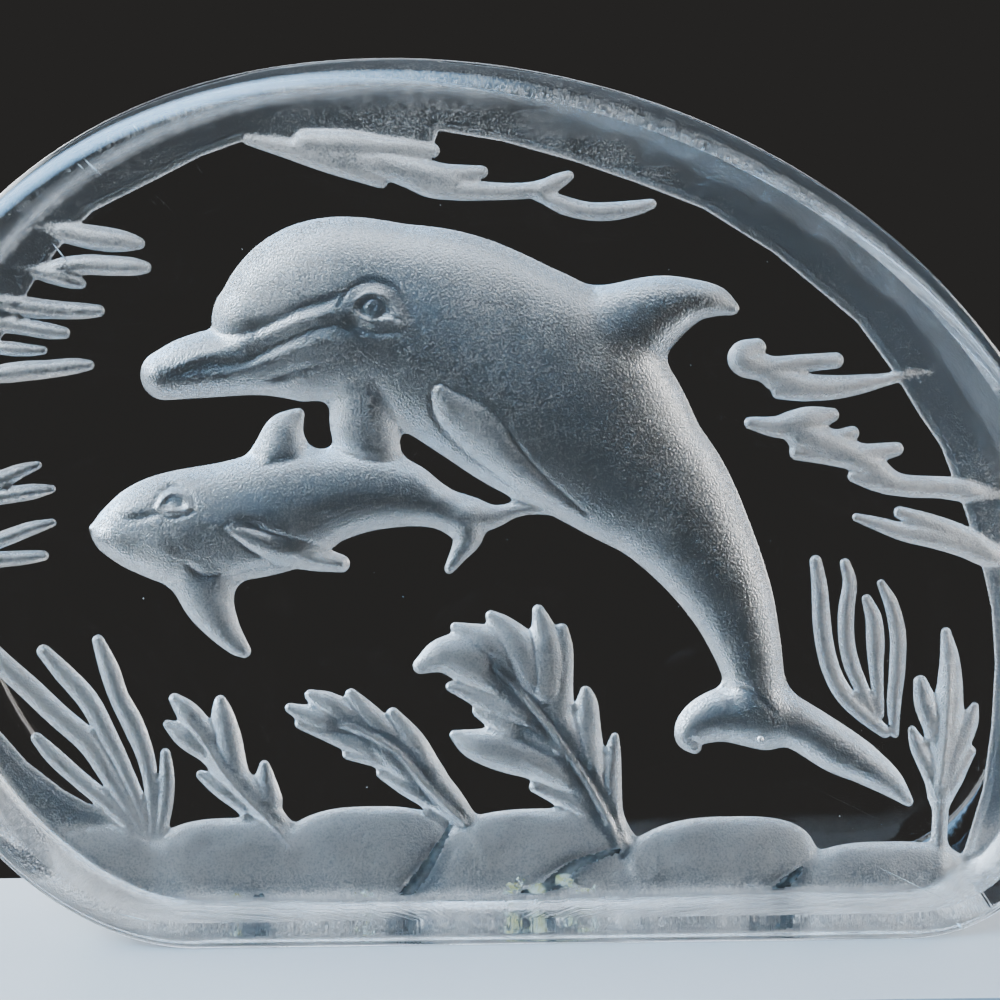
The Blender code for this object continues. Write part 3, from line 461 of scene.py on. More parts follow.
def stroke_reach(places, stroke, margin=0.004):
    """How far inside the stroke's edge each place is, its distance from the middle in radii, and the radius there."""
    curve = stroke_on_back(stroke)
    inside = np.full(len(places), -margin)
    share = np.full(len(places), 9.0)
    radius = np.full(len(places), curve[:, 2].min())
    widest = curve[:, 2].max() + margin
    near = np.flatnonzero(((places > curve[:, :2].min(axis=0) - widest)
                           & (places < curve[:, :2].max(axis=0) + widest)).all(axis=1))
    spots = places[near]
    best, best_share, best_radius = inside[near], share[near], radius[near]
    for start, end in zip(curve[:-1], curve[1:]):
        length = max(math.dist(start[:2], end[:2]), 1e-9)
        taper = min(max((end[2] - start[2]) / length, -0.9), 0.9)
        along = (spots - start[:2]) @ (end[:2] - start[:2]) / length
        aside = np.abs((spots - start[:2]) @ np.array([end[1] - start[1], start[0] - end[0]])) / length
        at = np.clip(along + taper * aside / math.sqrt(1 - taper * taper), 0, length)
        best = np.maximum(best, start[2] + taper * at - np.hypot(along - at, aside))
        at = np.clip(along + taper * aside**2 / np.maximum(start[2] + taper * along, 1e-6), 0, length)
        found_radius = start[2] + taper * at
        found = np.hypot(along - at, aside) / found_radius
        best_radius = np.where(found < best_share, found_radius, best_radius)
        best_share = np.minimum(best_share, found)
    inside[near], share[near], radius[near] = best, best_share, best_radius
    return inside, share, radius


def trough(share, radius, widest, deepest):
    """Depth of a rounded trough that is as deep as its own width allows."""
    middle = np.minimum(deepest * np.sqrt(radius / widest), 0.95 * radius)
    return middle * np.clip(1 - np.clip(share, 0, 1) ** TROUGH_FULLNESS, 0, 1) ** TROUGH_POWER


def cut_strokes(places, strokes, deepest, blend, depth_blend):
    """Reach and depth of several strokes that run into one another, and how nearly two of them are level."""
    widest = max(point[2] for stroke in strokes for point in stroke) * SQUARE_UP
    inside, depth, second = np.full(len(places), -1.0), np.zeros(len(places)), np.zeros(len(places))
    for stroke in strokes:
        reach, share, radius = stroke_reach(places, stroke)
        inside = smooth_max(inside, reach, blend)
        cut = trough(share, radius, widest, deepest)
        second = np.maximum(second, np.minimum(depth, cut))
        depth = np.where(np.minimum(depth, cut) > 0, smooth_max(depth, cut, depth_blend), np.maximum(depth, cut))
    crease = np.where(second > 0, bell(depth - second, CREASE_WIDTH), 0)
    return inside, depth, crease


def along_line(places, stroke):
    """One on a stroke's line, falling softly to zero a little beyond its radius."""
    share, radius = stroke_reach(places, stroke, 0.002)[1:]
    widest = max(point[2] for point in stroke) * SQUARE_UP
    return bell(share, 0.8) * np.clip(radius / widest, 0, 1)


def dome(places, spot, flattened=1.0):
    """The height of a half ball of one at a spot of the sheet: across, down and radius."""
    x, z = to_block(spot[0], spot[1])
    share = np.hypot(places[:, 0] - x, (places[:, 1] - z) / flattened) / (spot[2] * SQUARE_UP)
    return np.sqrt(np.clip(1 - share**2, 0, 1))


def cut_eye(places, eye, lids, brows):
    """An eye's relief: a ball with a pupil between two lids, and a crease above and below them."""
    across, down, size = eye
    raised = size / 9 * EYEBALL_RISE * dome(places, eye, 0.95)
    raised = raised - SOCKET_DEPTH * dome(places, (across + 0.3 * size, down, size * 2.3), 0.55)
    raised -= PUPIL_DEPTH * dome(places, (across, down, size * 0.45))
    for stroke in lids:
        raised += LID_RISE * along_line(places, stroke)
    for stroke in brows:
        raised -= BROW_DEPTH * along_line(places, stroke)
    return raised


def cut_dolphin(places, dolphin):
    """A dolphin: its body and fins, the flipper raised on its side, its creases, folds and eye."""
    inside, depth, _ = cut_strokes(places, dolphin["body"], dolphin["depth"], *BODY_BLENDS)
    fin_inside, fin_depth, _ = cut_strokes(places, dolphin["fins"], dolphin["depth"] * FIN_SHARE, *FIN_BLENDS)
    inside = smooth_max(inside, fin_inside, 0.0020)
    depth = smooth_max(depth, fin_depth, 0.0012)
    reach, share, radius = stroke_reach(places, dolphin["flipper"])
    inside = smooth_max(inside, reach, 0.0005)
    hump = np.clip(1 - np.clip(share, 0, 1) ** 2, 0, 1)
    depth = smooth_max(depth, 1.1 * radius * np.sqrt(hump), 0.0010)
    depth += FLIPPER_RISE * hump**0.75 * np.clip(radius / 0.0016, 0.1, 1)
    depth -= FLIPPER_SHADOW * bell(share - 1.12, 0.2)
    for stroke in dolphin["grooves"]:
        depth -= GROOVE_DEPTH * along_line(places, stroke)
    for stroke in dolphin["ridges"]:
        depth += RIDGE_RISE * along_line(places, stroke)
    return inside, depth + cut_eye(places, dolphin["eye"], dolphin["lids"], dolphin["brows"])


def cut_weed(places):
    """The blades, and the leaves with a valley on each side of the midrib and between the lobes."""
    inside, depth, crease = cut_strokes(places, BLADES, WEED_DEPTH, *BLADE_BLENDS)
    depth = depth - BLADE_CREASE * crease
    leaf_inside, leaf_depth, crease = cut_strokes(places, LEAVES, WEED_DEPTH, *LEAF_BLENDS)
    leaf_depth = leaf_depth * (1 - LEAF_CREASE * crease)
    valley, rib = beside_midribs(places)
    leaf_depth = leaf_depth * (1 - VALLEY_SHARE * valley) + RIB_RISE * rib * (leaf_inside > 0)
    return smooth_max(inside, leaf_inside, 0.0004), np.maximum(depth, leaf_depth)


def beside_midribs(places):
    """One in the valley along a midrib, and one on the rib itself."""
    valley, rib = np.zeros(len(places)), np.zeros(len(places))
    for stroke, strength in zip(MIDRIBS, MIDRIB_VALLEYS):
        share, radius = stroke_reach(places, stroke, 0.006)[1:]
        aside = share * radius
        valley = np.maximum(valley, strength * bell(aside, 0.0017))
        rib = np.maximum(rib, bell(aside, 0.00040) * np.clip(radius / 0.0006, 0, 1))
    return valley, rib


def lumps(places, size, seed):
    """A smooth unevenness between about minus one and one, with humps of the given size."""
    turn = np.random.default_rng(seed).uniform(0, 2 * math.pi, (6, 2))
    total = np.zeros(len(places))
    for way, phase in turn:
        total += np.sin((places[:, 0] * math.cos(way) + places[:, 1] * math.sin(way)) / size * 2 + phase)
    return total / 3.5


def cut_rocks(places, to_edge):
    """Reach and depth of the boulders, each a rounded hollow that opens at the base."""
    inside, depth = np.full(len(places), -1.0), np.zeros(len(places))
    for across, down, half_width, height, lean in ROCKS:
        x, z = to_block(across, down)
        to_side = np.abs(places[:, 0] - x - lean * (places[:, 1] - z)) / (half_width * SQUARE_ACROSS)
        to_top = np.abs(places[:, 1] - z) / (height * SQUARE_UP)
        share = (to_side**ROCK_FULLNESS + to_top**ROCK_FULLNESS) ** (1 / ROCK_FULLNESS)
        inside = smooth_max(inside, (1 - share) * height * SQUARE_UP * 0.9, ROCK_BLEND)
        cut = ROCK_DEPTH * np.sqrt(np.clip(1 - share**ROCK_ROUNDNESS, 0, 1))
        depth = np.where(np.minimum(depth, cut) > 0, smooth_max(depth, cut, ROCK_BLEND), np.maximum(depth, cut))
    off_edge = np.clip((to_edge - BACK_ROUND) / 0.0015, 0, 1)
    for stroke in CLEFTS:
        depth = depth - CLEFT_DEPTH * off_edge * along_line(places, stroke)
    uneven = lumps(places, 0.0021, 3) + 0.5 * lumps(places, 0.0009, 5)
    return inside, depth + ROCK_UNEVEN * uneven


def window_line():
    """The edge of the polished window, in metres on the back."""
    x, z = to_block(*np.array(WINDOW, float).T)
    return np.column_stack([x, z])


def inside_line(places, line):
    """Distance in from a closed line, negative outside it."""
    distance = np.full(len(places), 1.0)
    crossings = np.zeros(len(places), int)
    for start, end in zip(line, np.roll(line, -1, axis=0)):
        along = end - start
        t = np.clip((places - start) @ along / max(along @ along, 1e-15), 0, 1)
        distance = np.minimum(distance, np.hypot(*(places - start - t[:, None] * along).T))
        spans = (start[1] > places[:, 1]) != (end[1] > places[:, 1])
        rise = along[1] if abs(along[1]) > 1e-12 else 1e-12
        crossings += spans & (places[:, 0] < start[0] + (places[:, 1] - start[1]) * along[0] / rise)
    return np.where(crossings % 2 == 1, distance, -distance)


def cut_border(places, to_edge):
    """The border round the window: a crisp step, then a slope down to the edge of the block."""
    reach = -inside_line(places, window_line())
    fall = np.clip(reach, 0, None) / (np.clip(reach, 0, None) + to_edge + 1e-6)
    step = BORDER_STEP * (0.55 * np.clip(reach / 0.0003, 0, 1) + 0.45 * np.clip((reach - 0.0007) / 0.0002, 0, 1))
    return reach, np.where(reach > 0, step + BORDER_FALL * fall**1.5, 0)


def relief(places, outline):
    """For each place on the back, how far it is inside the cut part, and the depth of the cut."""
    to_edge = np.maximum(inside_line(places, outline), 0)
    inside, depth = cut_border(places, to_edge)
    wave_inside, wave_depth, crease = cut_strokes(places, WAVES, WAVE_DEPTH, *WAVE_BLENDS)
    # Reach, depth, how much the depths add up where forms cross, and how softly their edges run together.
    forms = ((*cut_rocks(places, to_edge), 0, 0.0004),
             (wave_inside, wave_depth - WAVE_CREASE * crease, 0.55, 0.0004),
             (*cut_weed(places), 0.5, 0.0010),
             (*cut_dolphin(places, MOTHER), 0, 0.0004),
             (*cut_dolphin(places, CALF), 0, 0.0018))
    for other_inside, other_depth, added, blend in forms:
        inside = smooth_max(inside, other_inside, blend)
        other_depth = np.maximum(other_depth, 0)
        over = added * np.minimum(depth, other_depth) * np.clip(other_depth / WEED_DEPTH, 0, 1)
        depth = np.maximum(depth, other_depth) + over
    reach = np.clip(inside, 0, None) * MM_PER_M
    least = LEAST_DEPTH * np.clip(reach / 0.4, 0, 1)
    most = WALL_RISE * (0.75 * np.sqrt(reach) + 0.9 * reach)
    depth = np.clip(smooth_min(np.maximum(depth, least), most, WALL_BLEND), 0, None)
    return inside, np.where(inside > 0, depth, 0)


def softly(inside):
    """One well inside an edge and zero outside it."""
    return np.clip(inside / 0.0006 + 0.3, 0, 1)


def spread(places, spots):
    """A sum of soft spots: across, down, size on the sheet, and strength."""
    total = np.zeros(len(places))
    for across, down, size, strength in spots:
        x, z = to_block(across, down)
        total += strength * np.exp(-(((places[:, 0] - x) ** 2 + (places[:, 1] - z) ** 2) / (size * SQUARE_UP) ** 2))
    return total


def frost_and_painted_light_of_dolphin(places, dolphin):
    """A dolphin's reach, and its frosting: thick along its edge and on its lids, thin in its creases. This paints
    highlights on its edge, lids and flipper, and shade in its creases, round its eye and round the flipper.
    """
    reach, share, _ = stroke_reach(places, dolphin["flipper"])
    for strokes, blends in ((dolphin["body"], BODY_BLENDS), (dolphin["fins"], FIN_BLENDS)):
        reach = np.maximum(reach, cut_strokes(places, strokes, dolphin["depth"], *blends)[0])
    # Painted highlights on the flipper, the edge and the lids; painted shade round the flipper, in the grooves and
    # brows, and round the eye.
    amount = dolphin["frost_and_painted_light"] + FROST_AND_PAINTED_LIGHT_CHANGE["flipper"] * (share < 1)
    amount = amount + FROST_AND_PAINTED_LIGHT_CHANGE["round flipper"] * bell(share - 1.2, 0.25)
    amount = amount + FROST_AND_PAINTED_LIGHT_CHANGE["rim"] * bell(reach, FORM_RIM)
    for stroke in dolphin["grooves"] + dolphin["brows"]:
        amount = amount + FROST_AND_PAINTED_LIGHT_CHANGE["groove"] * along_line(places, stroke)
    across, down, size = dolphin["eye"]
    amount = amount + FROST_AND_PAINTED_LIGHT_CHANGE["eye"] * dome(places, (across, down, size * 1.8))
    for stroke in dolphin["lids"]:
        amount = amount + FROST_AND_PAINTED_LIGHT_CHANGE["lid"] * along_line(places, stroke)
    return reach, amount


def frost_and_painted_light_of(places):
    """How thickly each place of the cut is frosted: most on rocks, weed and ripples, least in creases. It sets the
    colour too: painted shade in creases and clefts, painted highlights on ribs and the window's edge.
    """
    frost_and_painted_light = HAZE["border"] + spread(places, BORDER_CLOUDS)
    frost_and_painted_light = frost_and_painted_light + (HAZE["rocks"] - frost_and_painted_light) * np.clip((0.013 - places[:, 1]) / 0.006, 0, 1)
    # A painted highlight along the window's edge.
    frost_and_painted_light = frost_and_painted_light + bell(inside_line(places, window_line()), RIM_WIDTH)
    waves, _, wave_crease = cut_strokes(places, WAVES, WAVE_DEPTH, *WAVE_BLENDS)
    blades, _, blade_crease = cut_strokes(places, BLADES, WEED_DEPTH, *BLADE_BLENDS)
    leaves, _, leaf_crease = cut_strokes(places, LEAVES, WEED_DEPTH, *LEAF_BLENDS)
    valley, rib = beside_midribs(places)
    # Painted shade in the creases and in the valleys beside the midribs; a painted highlight on each rib.
    forms = ((cut_rocks(places, np.full(len(places), 0.01))[0], HAZE["rocks"]),
             (waves, HAZE["waves"] + FROST_AND_PAINTED_LIGHT_CHANGE["wave crease"] * wave_crease),
             (blades, HAZE["weed"] + FROST_AND_PAINTED_LIGHT_CHANGE["blade crease"] * blade_crease),
             (leaves, HAZE["weed"] + FROST_AND_PAINTED_LIGHT_CHANGE["leaf crease"] * leaf_crease + FROST_AND_PAINTED_LIGHT_CHANGE["valley"] * valley
              + FROST_AND_PAINTED_LIGHT_CHANGE["rib"] * rib),
             frost_and_painted_light_of_dolphin(places, MOTHER), frost_and_painted_light_of_dolphin(places, CALF))
    for reach, amount in forms:
        frost_and_painted_light = frost_and_painted_light + (amount - frost_and_painted_light) * softly(reach)
    # Painted shade along the clefts.
    for stroke in CLEFTS:
        wider = [(across, down, size * 2.2) for across, down, size in stroke]
        frost_and_painted_light = frost_and_painted_light + FROST_AND_PAINTED_LIGHT_CHANGE["cleft"] * along_line(places, wider)
    frost_and_painted_light = frost_and_painted_light + FROST_AND_PAINTED_LIGHT_CHANGE["foot"] * bell(places[:, 1] - FOOT_HEIGHT, FOOT_WIDTH)
    # Uneven frosting, with painted light and shade on and round the dolphins.
    return np.clip(frost_and_painted_light + spread(places, BODY_CLOUDS_AND_PAINTED_LIGHT), 0, 1)


def arc(start, end, corner, fullness, count):
    """Points of a quarter arc from start to end that bulges towards the corner."""
    angles = np.linspace(0, math.pi / 2, count, endpoint=False)
    towards_start = np.cos(angles) ** (2 / fullness)
    towards_end = np.sin(angles) ** (2 / fullness)
    start, end, corner = (np.array(point, float) for point in (start, end, corner))
    centre = start + end - corner
    return centre + np.outer(towards_start, start - centre) + np.outer(towards_end, end - centre)


def even_points(line, step, closed=True):
    """Points at even distances along a line."""
    if closed:
        line = np.vstack([line, line[:1]])
    lengths = np.concatenate([[0], np.cumsum(np.hypot(*np.diff(line, axis=0).T))])
    count = max(3, round(lengths[-1] / step))
    at = np.linspace(0, lengths[-1], count, endpoint=not closed)
    return np.column_stack([np.interp(at, lengths, line[:, 0]), np.interp(at, lengths, line[:, 1])])


def block_outline(step):
    """The block's outline in the XZ plane, anticlockwise from the left end of the flat base."""
    left, right, top = -BLOCK_WIDTH / 2, BLOCK_WIDTH / 2, BLOCK_HEIGHT
    base_left, base_right = left + BASE_LEFT * BLOCK_WIDTH, left + BASE_RIGHT * BLOCK_WIDTH
    apex = left + APEX_ACROSS * BLOCK_WIDTH
    left_up, right_up = LEFT_UP * BLOCK_HEIGHT, RIGHT_UP * BLOCK_HEIGHT
    arcs = [arc(start, end, corner, ARC_FULLNESS[name], ARC_POINTS) for name, start, end, corner in (
        ("right foot", (base_right, 0), (right, right_up), (right, 0)),
        ("right top", (right, right_up), (apex, top), (right, top)),
        ("left top", (apex, top), (left, left_up), (left, top)),
        ("left foot", (left, left_up), (base_left, 0), (left, 0)))]
    curve = even_points(np.vstack(arcs + [[(base_left, 0)]]), step, closed=False)
    base = even_points(np.array([(base_left, 0), (base_right, 0)]), step, closed=False)
    return np.vstack([curve, base[1:-1]])


def inward(line):
    """Unit normals that point into an anticlockwise closed line."""
    along = np.roll(line, -1, axis=0) - np.roll(line, 1, axis=0)
    normal = np.column_stack([-along[:, 1], along[:, 0]])
    return normal / np.hypot(*normal.T)[:, None]


def contours(field, xs, zs):
    """Closed lines where a field on a grid is zero."""
    joins = {}
    above = field > 0
    of_four = above[:-1, :-1] * 1 + above[1:, 1:] + above[:-1, 1:] + above[1:, :-1]
    mixed = np.argwhere((of_four > 0) & (of_four < 4))

    def crossing(a, b):
        t = field[a] / (field[a] - field[b])
        return (xs[a[1]] + t * (xs[b[1]] - xs[a[1]]), zs[a[0]] + t * (zs[b[0]] - zs[a[0]]))

    places = {}
    for row, column in mixed:
        corners = [(row, column), (row, column + 1), (row + 1, column + 1), (row + 1, column)]
        cuts = []
        for a, b in zip(corners, corners[1:] + corners[:1]):
            if above[a] != above[b]:
                key = (min(a, b), max(a, b))
                places[key] = crossing(*key)
                cuts.append((key, above[a]))
        if len(cuts) == 4 and not above[corners[0]]:
            cuts = cuts[1:] + cuts[:1]
        for (first, leaving), (second, _) in zip(cuts[::2], cuts[1::2]):
            a, b = (first, second) if leaving else (second, first)
            joins[a] = b
    lines = []
    while joins:
        start, here = joins.popitem()
        line = [start]
        while here in joins:
            line.append(here)
            here = joins.pop(here)
        if here == start and len(line) > 5:
            lines.append(np.array([places[key] for key in line]))
    return lines


def simplified(line, sag, step):
    """The closed line with only the points that keep it within the sag, no further apart than the step."""
    kept = [0]
    start = 0
    closed = np.vstack([line, line[:1]])
    lengths = np.concatenate([[0], np.cumsum(np.hypot(*np.diff(closed, axis=0).T))])
    for end in range(2, len(closed)):
        chord = closed[end] - closed[start]
        between = closed[start + 1:end] - closed[start]
        off = np.abs(between[:, 0] * chord[1] - between[:, 1] * chord[0]) / max(np.hypot(*chord), 1e-9)
        if off.max() > sag or lengths[end] - lengths[start] > step:
            kept.append(end - 1)
            start = end - 1
    if len(kept) > 3 and lengths[-1] - lengths[kept[-1]] < SHORTEST_EDGE:
        kept.pop()
    return line[kept]


def cut_lines(outline, edge):
    """Edges of the cut part that lie inside the back's own edge, simplified."""
    low, high = outline.min(axis=0), outline.max(axis=0)
    xs = np.arange(low[0], high[0] + CONTOUR_CELL, CONTOUR_CELL)
    zs = np.arange(low[1], high[1] + CONTOUR_CELL, CONTOUR_CELL)
    grid = np.stack(np.meshgrid(xs, zs), axis=-1).reshape(-1, 2)
    field = relief(grid, outline)[0].reshape(len(zs), len(xs))
    lines = []
    for line in contours(field, xs, zs):
        if len(line) * CONTOUR_CELL > 0.003 and inside_line(line, edge).min() > 0.0004:
            lines.append(simplified(line, OUTLINE_SAG, OUTLINE_STEP))
    return lines


def scattered(edge, step):
    """A staggered grid of places inside the back's edge."""
    low, high = edge.min(axis=0), edge.max(axis=0)
    rows = []
    for number, z in enumerate(np.arange(low[1], high[1], step * math.sqrt(3) / 2)):
        xs = np.arange(low[0] + (number % 2) * step / 2, high[0], step)
        rows.append(np.column_stack([xs, np.full(len(xs), z)]))
    return np.vstack(rows)


def clear_of(places, others, gap):
    """The places that keep a gap from the others and from one another, in order."""
    cells = {}
    for other in others:
        cells.setdefault((int(other[0] // gap), int(other[1] // gap)), []).append(other)
    kept = []
    for place in places:
        column, row = int(place[0] // gap), int(place[1] // gap)
        near = [other for i in (-1, 0, 1) for j in (-1, 0, 1) for other in cells.get((column + i, row + j), ())]
        if all((place[0] - other[0]) ** 2 + (place[1] - other[1]) ** 2 >= gap * gap for other in near):
            kept.append(place)
            cells.setdefault((column, row), []).append(place)
    return np.array(kept).reshape(-1, 2)


def beside_stroke(stroke, shares):
    """Points beside a stroke's middle, at shares of its radius."""
    curve = stroke_on_back(stroke)
    along = np.gradient(curve[:, :2], axis=0)
    across = np.column_stack([-along[:, 1], along[:, 0]]) / np.hypot(*along.T)[:, None]
    return np.vstack([curve[:, :2] + across * curve[:, 2:] * share for share in shares])


def round_eye(eye):
    """Points in rings round an eye."""
    turns = np.arange(0, 2 * math.pi, math.pi / 4)
    return np.array([to_block(eye[0] + eye[2] * reach * math.cos(turn), eye[1] + eye[2] * reach * math.sin(turn))
                     for reach in (0, 0.7, 1.4) for turn in turns])


def triangulated(edge, lines, places):
    """Points and triangles that keep an edge and the lines inside it whole, and the given points that each one is."""
    rings = [edge] + lines
    points = np.vstack(rings + [places])
    borders, start = [], 0
    for ring in rings:
        borders += [(start + i, start + (i + 1) % len(ring)) for i in range(len(ring))]
        start += len(ring)
    made = delaunay_2d_cdt([tuple(point) for point in points * MM_PER_M], borders, [], 0, 1e-5)
    points = np.array([tuple(point) for point in made[0]]) / MM_PER_M
    faces = np.array(made[2])
    return points, faces[inside_line(points[faces].mean(axis=1), edge) > 0], made[3]


def back_points(coarse, edge, lines):
    """Places inside the back's edge where its depth is taken: rings inside the cut's edge, details, and between."""
    rims = np.vstack(lines)
    fine = [round_eye(dolphin["eye"]) for dolphin in (MOTHER, CALF)]
    for strokes, shares in ((MOTHER["lids"] + CALF["lids"], (-0.8, -0.4, 0, 0.4, 0.8)),
                            (MOTHER["brows"] + CALF["brows"], (-1.0, -0.5, 0, 0.5, 1.0)),
                            (MIDRIBS, (-0.5, 0, 0.5)), (CLEFTS, (-0.82, -0.72, 0, 0.72, 0.82))):
        fine += [beside_stroke(stroke, shares) for stroke in strokes]
    spots = np.random.default_rng(17)
    for across, down, size in LIME_SPOTS:
        turn, far = spots.uniform(0, 2 * math.pi, LIME_POINTS), 1.3 * size * np.sqrt(spots.random(LIME_POINTS))
        fine.append(np.column_stack(to_block(across + far * np.cos(turn), down + far * np.sin(turn) / SPOT_FLATNESS)))
    details = clear_of(np.vstack(fine), rims, DETAIL_STEP)
    beside = np.vstack([line + inward(line) * gap for line in lines for gap in (-RING_STEP, RING_STEP)])
    beside = beside[relief(beside, coarse)[0] > RING_STEP * 0.5]
    taken = np.vstack([rims, details])
    beside = clear_of(beside, taken, RING_STEP * 0.8)
    grid = scattered(edge, INSIDE_STEP)
    grid = grid[relief(grid, coarse)[0] > RING_STEP]
    grid = clear_of(grid, np.vstack([taken, beside]), INSIDE_STEP * 0.62)
    window = scattered(edge, WINDOW_STEP)
    window = window[relief(window, coarse)[0] < -WINDOW_STEP / 4]
    return np.vstack([details, beside, grid, window])


def carved_back(coarse, edge):
    """The back laid flat: its points, triangles and depths, which triangles are frosted, and the points of its edge."""
    cut_edge = coarse + inward(coarse) * BACK_ROUND
    lines = cut_lines(coarse, cut_edge)
    places = back_points(coarse, edge, lines)
    places = places[inside_line(places, cut_edge) > RING_STEP]
    flat, faces, sources = triangulated(edge, lines, places)
    depth = relief(flat, coarse)[1]
    rims = len(edge)
    line_end = rims + sum(len(line) for line in lines)
    at_edge = np.empty(rims, int)
    for number, found in enumerate(sources):
        if any(rims <= source < line_end for source in found):
            depth[number] = 0
        for source in found:
            if source < rims:
                at_edge[source] = number
    frosted = relief(flat[faces].mean(axis=1), coarse)[0] > 0
    return flat, faces, depth, frosted, at_edge


def round_section(inset, height, steps):
    """Insets and heights of a quarter round, from the flat face to the wall."""
    turns = np.linspace(0, math.pi / 2, steps + 1)[1:]
    return [(inset * (1 - math.sin(turn)), height * (1 - math.cos(turn))) for turn in turns]


def wall_wave(along, across):
    """How far the fire-polished wall lies inside its true line, in metres: slow swells and finer ripples."""
    swell = np.sin(along * 61 + 1.0) + 0.7 * np.sin(along * 113 + across * 45 + 2.0) + 0.5 * np.sin(along * 197 + 0.4)
    ripple = np.sin(along * 890 + 3.0 * np.sin(along * 71)) * (0.5 + 0.5 * np.sin(along * 37 + 2.0))
    return WALL_SWELL * (swell + 2.2) / 4.4 + WALL_RIPPLE * (ripple + 1) / 2


def wall_rows(outline, edge_depth):
    """Rows of points of the wall, from the back's edge, at its depth, to the front's flat."""
    rows = [(inset, BACK - edge_depth - height)
            for inset, height in round_section(BACK_ROUND, BACK_ROUND, BACK_ROUND_ROWS)]
    start, end = BACK - edge_depth - BACK_ROUND, FRONT + FRONT_ROUND
    rows += [(0.0, start + (end - start) * share) for share in np.linspace(0, 1, WALL_ROWS + 1)[1:-1]]
    rows += [(inset, FRONT + height)
             for inset, height in reversed(round_section(FRONT_INSET, FRONT_ROUND, FRONT_ROUND_ROWS))]
    rows += [(FRONT_INSET, FRONT)]
    normals_in = inward(outline)
    lengths = np.concatenate([[0], np.cumsum(np.hypot(*np.diff(outline, axis=0).T))])
    off_base = np.clip(outline[:, 1] / 0.006, 0, 1)
    for inset, heights in rows:
        heights = np.broadcast_to(heights, len(outline))
        share = np.clip((BACK - heights) / BLOCK_THICKNESS, 0, 1)
        wave = wall_wave(lengths, heights) * off_base * np.clip(4 * share * (1 - share), 0, 1) ** 0.5
        at = outline + normals_in * (inset + wave)[:, None]
        yield np.column_stack([at[:, 0], heights, at[:, 1]])


def polished_front(ring, first, number):
    """The front's own points, numbered from the given number, and its triangles inside the wall's last ring."""
    ring_places = ring[:, [0, 2]]
    inner = scattered(ring_places, WINDOW_STEP)
    inner = inner[inside_line(inner, ring_places[::4]) > WINDOW_STEP / 2]
    flat, faces, sources = triangulated(ring_places, [], inner)
    index = np.empty(len(flat), int)
    fresh = []
    for place, found in enumerate(sources):
        on_ring = [source for source in found if source < len(ring)]
        if on_ring:
            index[place] = first + on_ring[0]
        else:
            index[place] = number + len(fresh)
            fresh.append((flat[place, 0], FRONT, flat[place, 1]))
    return np.array(fresh), index[faces]


def facing(points, faces, direction):
    """The triangles turned so that their normals point along a direction."""
    normal = np.cross(points[faces[:, 1]] - points[faces[:, 0]], points[faces[:, 2]] - points[faces[:, 0]])
    wrong = normal @ np.array(direction, float) < 0
    faces = faces.copy()
    faces[wrong] = faces[wrong][:, ::-1]
    return faces


def fields_of(points, flat, rings, outline):
    """What the materials read at each point: its place on the wall, how streaky that is, frosting with its painted
    light and shade, painted shade in the clefts, and lime.
    """
    run, streaks = np.zeros((len(points), 3)), np.zeros(len(points))
    streaky = np.maximum(np.clip((points[:, 0] - STREAKY_FROM) / 0.02, LEAST_STREAKS, 1),
                         np.clip((0.006 - points[:, 2]) / 0.003, 0, BASE_STREAKS))
    for ring in rings[1:]:
        run[ring] = np.column_stack([outline[:, 0], points[ring, 1] * RUN_ALONG, outline[:, 1]])
        streaks[ring] = streaky[ring]
    painted_cleft_shade, lime, frost_and_painted_light = np.zeros(len(points)), np.zeros(len(points)), np.full(len(points), HAZE_ELSEWHERE)
    on_back = slice(len(flat))
    frost_and_painted_light[on_back] = frost_and_painted_light_of(flat)
    patches = 0.6 + 0.9 * np.clip(lumps(flat, 0.0011, 11) + 0.6 * lumps(flat, 0.0005, 12), -0.6, 0.6)
    # Painted shade along the clefts, from a little above the base, and at the spot listed for it.
    for stroke in CLEFTS:
        painted_cleft_shade[on_back] = np.maximum(painted_cleft_shade[on_back], bell(stroke_reach(flat, stroke)[1], 0.8))
    painted_cleft_shade[on_back] *= np.clip((flat[:, 1] - CLEFT_SHADE_FROM) / 0.0008, 0, 1)
    for spots, field in ((CLEFT_SHADE_SPOTS, painted_cleft_shade), (LIME_SPOTS, lime)):
        for across, down, size in spots:
            x, z = to_block(across, down)
            off = np.hypot(flat[:, 0] - x, (flat[:, 1] - z) * SPOT_FLATNESS) / (size * SQUARE_UP)
            field[on_back] = np.maximum(field[on_back], np.exp(-(off**2)) * patches)
    return {"run": run, "streaks": streaks, "painted_cleft_shade": painted_cleft_shade, "lime": lime, "frost_and_painted_light": frost_and_painted_light}


def on_front(across, down):
    """The place just under the polished front that the photograph shows at this point."""
    right, below = turned_on_sheet(across, down)
    x, z = to_block(*SHEET_PIVOT)
    return np.array([x + right * FRONT_SQUARE, UNDER_FRONT - BLOCK_THICKNESS / 2, z - below * FRONT_SQUARE])


